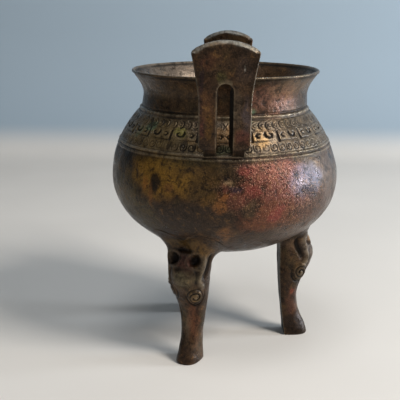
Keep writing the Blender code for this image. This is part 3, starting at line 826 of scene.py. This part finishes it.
def make_leg(name, angle, scrolls):
    rings = []
    low = np.r_[0.0, 0.12, 0.4, 0.8, 1.3, np.arange(1.75, LEG_BASE_TOP - 0.2, 0.36), LEG_BASE_TOP]
    for z in low:
        u, v = leg_points(np.full(LEG_N, z))
        if z < 0.8:                                           # softened edge of the foot
            inset = 0.55 * (1.0 - z / 0.8) ** 2
            mid = np.array([u.mean(), 0.0])
            d = np.hypot(u - mid[0], v)
            u = mid[0] + (u - mid[0]) * (1.0 - inset / d)
            v = v * (1.0 - inset / d)
        rings.append(np.stack([u, v, np.full(LEG_N, z)], 1))
    # direction in which each place of the ring spreads onto the bowl: back, side or front
    cu, cv = leg_points(np.full(LEG_N, 57.0))
    away = np.stack([cu - cu.mean(), cv], 1)
    away /= np.linalg.norm(away, axis=1)[:, None]
    side = np.abs(away[:, 1]) ** 1.3
    spread = np.where(away[:, 0] < 0.0, ROOT_SPREAD[0], ROOT_SPREAD[2]) * (1.0 - side) + ROOT_SPREAD[1] * side
    drop = np.where(away[:, 0] < 0.0, ROOT_DROP[0], ROOT_DROP[2]) * (1.0 - side) + ROOT_DROP[1] * side
    crest = bowl_bottom_z(np.hypot(cu, cv)) - drop
    upper = 52
    for k in range(1, upper + 1):
        z = LEG_BASE_TOP + (crest - LEG_BASE_TOP) * k / upper
        u, v = leg_points(z)
        rings.append(np.stack([u, v, z], 1))
    foot = rings[-1]
    start = bowl_bottom_z(np.hypot(foot[:, 0], foot[:, 1])) - foot[:, 2]
    proud = ROOT_STEP * step(away[:, 0], -0.5, 0.3)
    for q in np.linspace(0.0, 1.0, 13)[1:]:
        a = q * math.pi / 2
        w = foot[:, :2] + away * (spread * (1.0 - math.cos(a)))[:, None]
        z = bowl_bottom_z(np.hypot(w[:, 0], w[:, 1])) - start * (1.0 - math.sin(a)) - proud * math.sin(a)
        rings.append(np.stack([w[:, 0], w[:, 1], z], 1))
    for more, sink in ((0.25, 0.0), (0.42, 0.35), (0.5, 1.3)):
        w = foot[:, :2] + away * (spread + more)[:, None]
        z = bowl_bottom_z(np.hypot(w[:, 0], w[:, 1])) - proud * (1.0 if sink == 0.0 else 0.0) + sink
        rings.append(np.stack([w[:, 0], w[:, 1], z], 1))
    # closed over inside the bowl's wall, following its curve
    rim_top, middle_top = rings[-1][:, :2], np.array([rings[-1][:, 0].mean(), 0.0])
    for part in (0.75, 0.5, 0.25):
        w = middle_top + (rim_top - middle_top) * part
        z = bowl_bottom_z(np.hypot(w[:, 0], w[:, 1])) + 1.3
        rings.append(np.stack([w[:, 0], w[:, 1], z], 1))
    verts = np.vstack(rings)
    n = LEG_N
    quads, tris = [], []
    j = np.arange(n)
    m = (j + 1) % n
    for k in range(len(rings) - 1):
        quads.append(np.stack([k * n + j, k * n + m, (k + 1) * n + m, (k + 1) * n + j], 1))
    hub = len(verts)
    first = rings[0]
    verts = np.vstack([verts, [first[:, 0].mean(), 0.0, 0.0],
                       [middle_top[0], 0.0, float(bowl_bottom_z(np.array([middle_top[0]]))[0]) + 1.3]])
    tris.append(np.stack([np.full(n, hub), m, j], 1))
    top = (len(rings) - 1) * n
    tris.append(np.stack([np.full(n, hub + 1), top + j, top + m], 1))
    local = verts.copy()
    fade = step(local[:, 2], 0.0, 1.5)
    below = bowl_bottom_z(np.hypot(local[:, 0], local[:, 1])) - local[:, 2]
    near_top = step(below, 0.4, 2.4)
    turn = math.radians(angle)
    rot = np.array([[math.cos(turn), -math.sin(turn), 0], [math.sin(turn), math.cos(turn), 0], [0, 0, 1]])
    world = verts @ rot.T

    def relief(p, nrm):
        h, dirt_and_shade, wear_and_highlight = mask_relief(local, scrolls)
        h, dirt_and_shade, wear_and_highlight = h * near_top, dirt_and_shade * near_top, wear_and_highlight * near_top
        h += (0.11 * noise3(p, 7.0, 71) + 0.05 * noise3(p, 2.8, 72)) * fade * (0.2 + 0.8 * near_top)
        pit = step(noise3(p, 2.2, 73), 0.6, 0.85)
        h -= 0.08 * pit * fade * near_top
        kind = np.r_[np.tile(LEG_KIND, len(rings)), 0, 0]
        par = np.r_[np.tile(LEG_PAR, len(rings)), 0, 0]
        # painted highlight: a light line along both edges of the flat back
        rim = ((kind == 1) | (kind == 3)) & (par < 0.10)
        wear_and_highlight = np.maximum(wear_and_highlight, np.where(rim, 0.5, 0.0))
        # painted shade over the flat back, which faces away from the light, and along the root's edge where it meets
        # the bowl
        dirt_and_shade = np.maximum(dirt_and_shade, np.where(kind == 0, 0.92, 0.0))
        edge = np.zeros(len(local))
        edge[-2 - 6 * LEG_N:-2 - 3 * LEG_N] = 0.6
        dirt_and_shade = np.maximum(dirt_and_shade, edge * step(noise3(p, 5.0, 74), -0.5, 0.4))
        flat = local[:, 2] <= 0.001
        h = np.where(flat, 0.0, h)
        return h, np.maximum(dirt_and_shade, 0.3 * pit), wear_and_highlight
    index = [h[0] for h in LEG_NAMES].index(name)
    patches = [(at(t, z), 180.0 + t, (14.0, w, u), s, k, c) for t, z, w, u, s, k, c in BROAD_PATCHES if z < 82.0]
    patches += [(on_leg(index, a, z), angle + a, (5.0, w, u), s, k, c)
                for i, a, z, w, u, s, k, c in LEG_PATCHES if i == index]
    return build(name, world, np.vstack(quads), np.vstack(tris), relief, patches)


# ------------------------------------------------------------------ materials
def lin(r, g, b):
    """Linear colour from display values 0 to 255."""
    out = []
    for c in (r, g, b):
        c /= 255.0
        out.append(c / 12.92 if c <= 0.04045 else ((c + 0.055) / 1.055) ** 2.4)
    return (*out, 1.0)


class Nodes:
    """Small helper that builds a node tree with short calls."""

    def __init__(self, tree):
        self.tree = tree

    def new(self, kind, **props):
        node = self.tree.nodes.new(kind)
        for key, value in props.items():
            setattr(node, key, value)
        return node

    def put(self, socket, value):
        if isinstance(value, bpy.types.NodeSocket):
            self.tree.links.new(value, socket)
        elif value is not None:
            socket.default_value = value

    def math(self, op, a, b=None, c=None, clamp=False):
        node = self.new('ShaderNodeMath', operation=op, use_clamp=clamp)
        for socket, value in zip(node.inputs, (a, b, c)):
            self.put(socket, value)
        return node.outputs[0]

    def mix(self, factor, a, b, blend='MIX'):
        node = self.new('ShaderNodeMix', data_type='RGBA', blend_type=blend, clamp_factor=True)
        self.put(node.inputs[0], factor)
        self.put(node.inputs[6], a)
        self.put(node.inputs[7], b)
        return node.outputs[2]

    def ramp(self, value, low, high, to_low=0.0, to_high=1.0):
        node = self.new('ShaderNodeMapRange', interpolation_type='SMOOTHSTEP')
        for socket, v in zip(node.inputs, (value, low, high, to_low, to_high)):
            self.put(socket, v)
        return node.outputs[0]

    def noise(self, vector, scale, detail=3.0, rough=0.55, distortion=0.0):
        node = self.new('ShaderNodeTexNoise')
        self.put(node.inputs['Vector'], vector)
        node.inputs['Scale'].default_value = scale
        node.inputs['Detail'].default_value = detail
        node.inputs['Roughness'].default_value = rough
        node.inputs['Distortion'].default_value = distortion
        return node.outputs[0]


def at(turn, z):
    """A place on the bowl's outside, by degrees from the -X side (positive to -Y) and height."""
    if z > NECK_Z:
        t = min((z - NECK_Z) / (LIP_Z - LIP_EDGE - NECK_Z), 1.0)
        r = NECK_R + (LIP_R - NECK_R) * t ** FLARE_POWER
    elif z > BELLY_Z:
        r = float(outer_r(z))
    else:
        r = BELLY_R * (1.0 - min((BELLY_Z - z) / BELLY_DROP, 1.0) ** BELLY_ROUND) ** (1.0 / BELLY_ROUND)
    a = math.radians(turn)
    return (-r * math.cos(a), -r * math.sin(a), z)


def on_handle(index, across, z):
    """A place on the outer face of a handle; across is positive to the left seen from outside."""
    a = math.radians(HANDLES[index][1])
    r = HANDLE_OUT_LOW + (HANDLE_OUT_TOP - HANDLE_OUT_LOW) * (z - ELBOW_Z) / (158.3 - ELBOW_Z)
    return (r * math.cos(a) + across * math.sin(a), r * math.sin(a) - across * math.cos(a), z)


def on_leg(index, a, z):
    """A place on a leg, by the angle round its front."""
    turn = math.radians(LEG_NAMES[index][1])
    u, v, z = leg_spot(z, a)
    return (u * math.cos(turn) - v * math.sin(turn), u * math.sin(turn) + v * math.cos(turn), z)


# colours of the patina (display values)
DARK, SOOT, BROWN, TAN = (34, 25, 18), (20, 16, 14), (74, 54, 36), (124, 96, 70)
GOLD, OLIVE, OCHRE, ORANGE = (104, 74, 30), (70, 60, 28), (122, 88, 42), (156, 96, 40)
RED, CRIMSON, RUST, PURPLE = (112, 62, 48), (128, 52, 48), (98, 58, 38), (52, 40, 50)
GREY, GREEN, YELLOW, STEEL = (98, 84, 74), (86, 108, 76), (142, 132, 60), (108, 104, 108)

# patches on the bowl: turn, height, half size round and up (mm), softness, strength, colour
BROAD_PATCHES = (
    (-34, 97, 19, 10, 0.35, 0.80, GOLD), (-58, 88, 13, 12, 0.4, 0.55, OLIVE), (-12, 97, 10, 8, 0.35, 0.55, (96, 72, 36)),
    (-24, 103, 22, 3, 0.4, 0.55, OLIVE), (-48, 76, 14, 10, 0.4, 0.60, (84, 72, 46)),
    (-36, 130, 24, 9, 0.4, 0.50, (70, 54, 32)), (-40, 114, 22, 8, 0.4, 0.60, (126, 100, 50)),
    (22, 92, 21, 13, 0.30, 0.85, (112, 62, 50)), (36, 88, 14, 14, 0.3, 0.70, (110, 66, 56)), (24, 78, 16, 8, 0.3, 0.80, RUST),
    (30, 131, 15, 8, 0.4, 0.60, (120, 80, 64)), (44, 136, 12, 5, 0.4, 0.50, TAN),
    (54, 80, 14, 12, 0.4, 0.80, (80, 56, 46)), (70, 92, 16, 16, 0.4, 0.60, (96, 84, 78)),
    (30, 114, 24, 7, 0.4, 0.80, (64, 50, 38)), (66, 116, 18, 9, 0.4, 0.55, (92, 82, 72)),
    (40, 66, 18, 6, 0.4, 0.65, (92, 74, 60)), (5, 60, 24, 8, 0.4, 0.55, (58, 42, 30)),
    (-18, 79, 14, 8.5, 0.25, 0.88, (50, 40, 32)), (-6, 74, 9, 6, 0.3, 0.75, (50, 39, 30)),
    (112, 92, 22, 12, 0.4, 0.70, GOLD), (150, 96, 20, 9, 0.4, 0.60, RUST), (-150, 84, 22, 12, 0.4, 0.65, GREY),
    (-112, 98, 18, 9, 0.4, 0.65, RED), (178, 78, 20, 10, 0.4, 0.70, (56, 44, 34)),
    (-95, 80, 14, 9, 0.4, 0.60, (60, 46, 34)), (130, 128, 20, 8, 0.4, 0.50, (84, 62, 44)),
    # below, (-140, 134) paints the far inner wall of the neck lighter, a painted pool of light, and (43, 94) is grey
    # patina with a painted reflection of the window light
    (-140, 134, 30, 9, 0.4, 0.62, (128, 116, 104)), (-34, 96, 15, 8, 0.35, 0.70, (148, 108, 42)), (43, 94, 9, 7, 0.5, 0.60, (104, 110, 126)),
)
SMALL_PATCHES = (
    (-33.5, 94, 2.7, 3.6, 0.3, 0.90, SOOT), (-35, 91, 2.2, 3.0, 0.3, 0.60, SOOT),
    (-57, 102, 5.0, 3.4, 0.35, 0.85, SOOT), (-60, 96, 3.0, 3.4, 0.4, 0.55, DARK), (-66, 90, 3.0, 4.0, 0.4, 0.60, DARK),
    (-44, 84, 4.0, 3.0, 0.4, 0.40, DARK), (-22, 99, 4.0, 2.4, 0.4, 0.40, DARK), (-12, 102, 5.0, 1.5, 0.4, 0.40, DARK),
    (-36.5, 87, 1.2, 5.2, 0.5, 0.50, (134, 86, 42)), (-40, 92, 1.6, 3.0, 0.4, 0.45, ORANGE), (-26, 92, 2.4, 2.0, 0.4, 0.50, RUST),
    (-1.5, 85.5, 2.4, 4.8, 0.5, 0.62, (146, 94, 48)), (1.0, 89, 1.6, 1.8, 0.4, 0.45, ORANGE), (0.5, 70, 3.2, 5.2, 0.6, 0.55, (122, 80, 44)),
    (-7, 88, 3.6, 3.0, 0.4, 0.45, GOLD), (5, 92.3, 3.4, 1.8, 0.3, 0.85, PURPLE), (8, 93.4, 1.8, 1.2, 0.3, 0.6, PURPLE),
    (1, 98, 1.6, 1.4, 0.3, 0.75, SOOT), (2.5, 95.5, 2.6, 0.9, 0.4, 0.60, (170, 140, 104)),
    (11.5, 83, 3.6, 3.6, 0.4, 0.70, (50, 50, 34)), (15, 88.8, 2.2, 2.0, 0.4, 0.60, DARK), (7, 80, 3.0, 2.4, 0.4, 0.45, DARK),
    (25, 79.3, 3.6, 3.0, 0.5, 0.60, CRIMSON), (28, 82.5, 2.6, 2.2, 0.5, 0.40, CRIMSON), (14, 91.5, 3.0, 2.4, 0.4, 0.45, CRIMSON),
    (10, 101, 5.0, 2.0, 0.4, 0.55, CRIMSON), (27, 100, 4.0, 3.0, 0.4, 0.35, (150, 96, 80)),
    (37, 97.3, 2.5, 2.5, 0.4, 0.90, (40, 38, 46)), (44.5, 90, 4.6, 2.2, 0.4, 0.90, (42, 32, 38)),
    # (40, 93.4) is a painted highlight of the window light
    (40, 93.4, 3.0, 1.1, 0.4, 0.45, (160, 140, 136)), (34, 78, 2.0, 2.4, 0.4, 0.60, DARK), (52, 97, 2.0, 3.0, 0.4, 0.50, (70, 58, 66)),
    (-25, 115.6, 3.6, 2.4, 0.4, 0.75, YELLOW), (-18, 113.5, 3.0, 1.4, 0.4, 0.5, OCHRE), (-48, 117, 3.2, 2.6, 0.4, 0.65, (88, 124, 88)),
    (-55, 114, 2.6, 2.4, 0.4, 0.45, GREEN), (17.5, 125.0, 1.5, 1.4, 0.5, 0.60, (96, 130, 102)), (14.8, 121, 1.8, 3.0, 0.4, 0.5, GREEN),
    (19, 113, 3.0, 3.4, 0.4, 0.65, (150, 112, 58)), (22, 117, 3.0, 2.0, 0.4, 0.45, OCHRE), (-12, 110, 3.0, 1.2, 0.4, 0.5, OCHRE),
    (3, 115, 2.6, 3.6, 0.4, 0.70, (150, 108, 62)), (-3, 114, 2.6, 3.6, 0.4, 0.70, (150, 108, 62)), (0, 109, 4.0, 1.4, 0.4, 0.55, (96, 104, 70)),
    (120, 104, 4, 3, 0.4, 0.70, DARK), (150, 86, 6, 4, 0.4, 0.60, DARK), (-120, 88, 5, 4, 0.4, 0.70, DARK),
    (-140, 98, 4, 3, 0.4, 0.60, ORANGE), (100, 84, 4, 5, 0.4, 0.50, ORANGE), (-165, 100, 4, 3, 0.4, 0.60, SOOT),
    (135, 115, 5, 3, 0.4, 0.55, GREEN), (-125, 116, 5, 3, 0.4, 0.55, YELLOW), (85, 100, 4, 3, 0.4, 0.60, SOOT),
)
# on the handles: handle, across, height, half sizes, softness, strength, colour
HANDLE_PATCHES = (
    (0, 8.0, 128, 3.0, 13, 0.5, 0.50, (96, 64, 40)), (0, 10.0, 121, 1.4, 4, 0.5, 0.50, (100, 54, 50)),
    (0, 6.8, 120, 2.0, 6, 0.4, 0.45, GOLD), (0, 7.6, 149, 4.5, 3.4, 0.5, 0.45, (96, 60, 42)),
    (0, 2.3, 142.5, 2.4, 2.6, 0.5, 0.60, (84, 82, 44)), (0, -9.6, 126, 1.8, 7, 0.5, 0.50, (84, 78, 84)),
    (0, -6.0, 130, 2.2, 9, 0.4, 0.45, (84, 74, 62)), (0, -8.0, 117, 3.4, 3.6, 0.4, 0.60, (100, 58, 48)),
    (0, -8.6, 147, 4.0, 7, 0.5, 0.45, (76, 62, 54)), (0, -8.4, 146.6, 0.35, 1.3, 0.4, 0.60, (170, 162, 150)),
    # below, (0, 10.9, 134) is painted shade down the left prong's side and (0, 7.5, 112.2) painted shade under the
    # left prong's foot
    (0, 10.9, 134, 0.9, 16, 0.4, 0.55, (34, 22, 30)), (0, 7.5, 112.2, 4.0, 1.6, 0.5, 0.5, DARK),
    (1, 6.0, 146, 5.0, 5.0, 0.5, 0.50, RUST), (1, -7.0, 126, 3.0, 9, 0.4, 0.50, GOLD), (1, 8.0, 120, 3, 5, 0.4, 0.5, GREEN),
)
# on the legs: leg, angle round the front, height, half sizes, softness, strength, colour
LEG_PATCHES = (
    (2, 0, 4, 10, 10, 0.5, 0.80, (30, 21, 14)), (0, -60, 4, 9, 9, 0.5, 0.65, (34, 25, 18)), (2, 20, 50, 10, 11, 0.5, 0.65, (40, 29, 18)), (0, -40, 45, 9, 12, 0.5, 0.35, (60, 44, 32)),
    (2, 2, 53.5, 4.4, 4.8, 0.4, 0.80, (70, 36, 30)), (2, 5, 44.5, 5.5, 3.6, 0.4, 0.50, (84, 78, 52)),
    (2, 40, 62.0, 9.0, 3.6, 0.4, 0.60, (108, 80, 40)), (2, -10, 62.5, 9.0, 2.4, 0.4, 0.50, (96, 74, 36)),
    (2, 20, 24, 3.0, 8, 0.4, 0.55, (104, 62, 42)), (2, 40, 20, 2.6, 8, 0.4, 0.45, (96, 60, 40)),
    (2, -40, 22, 3.0, 10, 0.4, 0.40, OLIVE), (2, 5, 5, 6.0, 5, 0.4, 0.35, (78, 56, 40)), (2, 37, 37, 3.4, 4.4, 0.4, 0.5, (110, 88, 56)),
    (0, -110, 53, 3.6, 4.0, 0.4, 0.55, (110, 84, 62)), (0, -72, 25.5, 1.0, 1.2, 0.5, 0.60, (136, 62, 44)),
    # below, (0, -48, 8) and (0, -46, 52) are painted grey highlights
    (0, -60, 20, 3.6, 8, 0.5, 0.42, (104, 66, 54)), (0, -48, 8, 2.4, 3.4, 0.6, 0.35, (108, 100, 100)),
    (0, -46, 52, 4.0, 6, 0.4, 0.45, (92, 82, 78)), (0, -70, 36, 4.0, 5, 0.4, 0.40, (104, 84, 58)),
    (1, 20, 22, 4.0, 8, 0.4, 0.50, (100, 62, 42)), (1, 0, 52, 5.0, 5, 0.4, 0.50, (86, 52, 40)),
)


def bronze():
    mat = bpy.data.materials.new('patinated_bronze')
    mat.use_nodes = True
    tree = mat.node_tree
    n = Nodes(tree)
    shader = tree.nodes['Principled BSDF']
    coord = n.new('ShaderNodeTexCoord').outputs['Object']
    middle = n.noise(coord, 150.0, 5.0, 0.62)
    vein = n.noise(coord, 300.0, 5.0, 0.68, 0.5)
    fine = n.noise(coord, 680.0, 4.0, 0.65)
    grain = n.noise(coord, 1500.0, 2.0, 0.6)

    # the painted tints, with dark mottling and light flecks
    colour = n.new('ShaderNodeAttribute', attribute_name='tint').outputs['Color']
    colour = n.mix(n.math('MULTIPLY', n.ramp(vein, 0.50, 0.37), 0.76), colour, lin(32, 23, 15))
    colour = n.mix(n.math('MULTIPLY', n.ramp(vein, 0.56, 0.68), 0.36), colour, lin(132, 96, 54))

    # light grains over the red patch, fine mottling everywhere
    grainy = n.new('ShaderNodeAttribute', attribute_name='grainy').outputs['Fac']
    speck = n.math('MULTIPLY', n.ramp(grain, 0.54, 0.68), n.math('MULTIPLY_ADD', grainy, 0.42, 0.05))
    colour = n.mix(speck, colour, lin(160, 122, 96))
    colour = n.mix(n.math('MULTIPLY', n.ramp(fine, 0.47, 0.35), 0.45), colour, lin(28, 21, 16))
    tone = n.ramp(grain, 0.3, 0.7, 0.74, 1.26)
    shade = n.new('ShaderNodeCombineColor')
    for s in shade.inputs[:3]:
        n.put(s, tone)
    colour = n.mix(1.0, colour, shade.outputs[0], 'MULTIPLY')

    # grooves hold dark dirt, and the same mask carries painted shade under the handles, in the slot, on the legs' flat
    # backs and under the lip; worn edges show warmer, lighter metal, and the same wear mask carries painted highlights
    # on edges
    dirt_and_shade = n.new('ShaderNodeAttribute', attribute_name='dirt_and_shade').outputs['Fac']
    wear_and_highlight = n.new('ShaderNodeAttribute', attribute_name='wear_and_highlight').outputs['Fac']
    worn = n.math('MULTIPLY', wear_and_highlight, n.ramp(vein, 0.36, 0.60, 0.30, 1.0))
    colour = n.mix(n.math('MULTIPLY', worn, 0.55), colour, lin(166, 150, 124))
    colour = n.mix(n.math('MULTIPLY', n.ramp(dirt_and_shade, 0.0, 0.75), 0.90), colour, lin(15, 12, 9))
    n.put(shader.inputs['Base Color'], colour)

    rough = n.ramp(middle, 0.3, 0.7, 0.25, 0.44)
    rough = n.math('ADD', rough, n.math('MULTIPLY', dirt_and_shade, 0.25))
    rough = n.math('SUBTRACT', rough, n.math('MULTIPLY', worn, 0.08), clamp=True)
    n.put(shader.inputs['Roughness'], rough)
    shader.inputs['Metallic'].default_value = 0.5
    shader.inputs['Specular IOR Level'].default_value = 0.30

    height = n.math('MULTIPLY', fine, n.math('MULTIPLY_ADD', grainy, 0.6, 0.9))
    height = n.math('ADD', height, n.math('MULTIPLY', grain, n.math('MULTIPLY_ADD', grainy, 0.75, 0.35)))
    height = n.math('ADD', height, n.math('MULTIPLY', vein, 0.8))
    bump = n.new('ShaderNodeBump')
    bump.inputs['Strength'].default_value = 0.8
    bump.inputs['Distance'].default_value = 0.00028
    n.put(bump.inputs['Height'], height)
    n.put(shader.inputs['Normal'], bump.outputs[0])
    return mat


def plain(name, colour, rough, second=None, low=0.0, high=1.0):
    """Plain matt material; a second colour may take over with height (m)."""
    mat = bpy.data.materials.new(name)
    mat.use_nodes = True
    shader = mat.node_tree.nodes['Principled BSDF']
    n = Nodes(mat.node_tree)
    coord = n.new('ShaderNodeTexCoord').outputs['Object']
    tone = n.noise(coord, 6.0, 2.0, 0.5)
    base = n.mix(n.ramp(tone, 0.35, 0.65), colour, tuple(c * 0.96 for c in colour[:3]) + (1.0,))
    if second is not None:
        split = n.new('ShaderNodeSeparateXYZ')
        n.put(split.inputs[0], coord)
        base = n.mix(n.ramp(split.outputs[2], low, high), base, second)
    n.put(shader.inputs['Base Color'], base)
    shader.inputs['Roughness'].default_value = rough
    shader.inputs['Specular IOR Level'].default_value = 0.2
    return mat


# ------------------------------------------------------------------ the object
pieces = [make_bowl()]
for (handle_name, angle, half_top, crown_z), lean_mm in zip(HANDLES, HANDLE_LEAN):
    pieces.append(make_handle(handle_name, angle, half_top, crown_z, lean_mm))
for leg_name, angle, scrolls in LEG_NAMES:
    pieces.append(make_leg(leg_name, angle, scrolls))

metal = bronze()
for piece in pieces:
    piece.data.materials.append(metal)
    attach(piece, 'root')
    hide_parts('ding_vessel')

# ------------------------------------------------------------------ floor, light and camera
def make_stage():
    """A pale floor that sweeps up into a plain backdrop behind the object."""
    flat, bend = 0.44, 0.14
    profile = [(-1.2, 0.0), (flat, 0.0)]
    for i in range(1, 13):
        a = math.radians(90.0 * i / 12.0)
        profile.append((flat + bend * math.sin(a), bend - bend * math.cos(a)))
    profile.append((flat + bend, 1.9))
    ys = [-2.4 + 4.8 * i / 12 for i in range(13)]
    verts = [(x, y, z) for x, z in profile for y in ys]
    m = len(ys)
    faces = [(i * m + j, (i + 1) * m + j, (i + 1) * m + j + 1, i * m + j + 1)
             for i in range(len(profile) - 1) for j in range(m - 1)]
    mesh = bpy.data.meshes.new('studio_floor')
    mesh.from_pydata(verts, [], [f[::-1] for f in faces])
    mesh.update()
    for poly in mesh.polygons:
        poly.use_smooth = True
    obj = bpy.data.objects.new('studio_floor', mesh)
    bpy.context.scene.collection.objects.link(obj)
    obj.data.materials.append(plain('pale_floor', lin(212, 207, 201), 0.8, lin(151, 165, 176), 0.004, 0.03))
    return obj


make_stage()


def area_light(name, place, target, size, size_y, power, colour):
    data = bpy.data.lights.new(name, 'AREA')
    data.shape = 'RECTANGLE'
    data.size, data.size_y = size, size_y
    data.energy = power
    data.color = colour
    obj = bpy.data.objects.new(name, data)
    obj.location = place
    obj.rotation_mode = 'QUATERNION'
    obj.rotation_quaternion = (Vector(target) - Vector(place)).to_track_quat('-Z', 'Y')
    bpy.context.scene.collection.objects.link(obj)
    return obj


middle = (0.0, 0.0, 0.08)
area_light('key', (-0.41, -0.67, 0.84), middle, 0.34, 0.34, 11.2, (1.0, 0.96, 0.90))
area_light('window_side', (0.07, -0.88, 0.20), (-0.03, -0.03, 0.10), 0.26, 0.22, 7.0, (0.80, 0.90, 1.0))
area_light('overhead', (-0.22, 0.05, 0.95), middle, 0.34, 0.34, 2.2, (0.95, 0.98, 1.0))
area_light('fill', (-0.75, 0.55, 0.60), middle, 0.8, 0.8, 0.8, (0.90, 0.95, 1.0))

world = bpy.data.worlds.new('studio')
world.use_nodes = True
world.node_tree.nodes['Background'].inputs['Color'].default_value = (0.72, 0.78, 0.84, 1.0)
world.node_tree.nodes['Background'].inputs['Strength'].default_value = 0.12
bpy.context.scene.world = world
bpy.context.scene.view_settings.view_transform = 'Standard'
bpy.context.scene.view_settings.look = 'None'

camera_data = bpy.data.cameras.new('camera')
camera_data.sensor_fit = 'HORIZONTAL'
camera_data.sensor_width = 36.0
camera_data.lens = 72.84
camera_data.clip_start, camera_data.clip_end = 0.02, 20.0
camera = bpy.data.objects.new('camera', camera_data)
right = Vector((0.03163705, -0.99948831, 0.00471322))
up = Vector((0.24854091, 0.01243442, 0.96854158))
ahead = Vector((0.9681046, 0.02947037, -0.24880712))
turned = Matrix((right, up, -ahead)).transposed().to_4x4()
camera.matrix_world = Matrix.Translation((-0.40656, 0.0, 0.17793)) @ turned
bpy.context.scene.collection.objects.link(camera)
bpy.context.scene.camera = camera
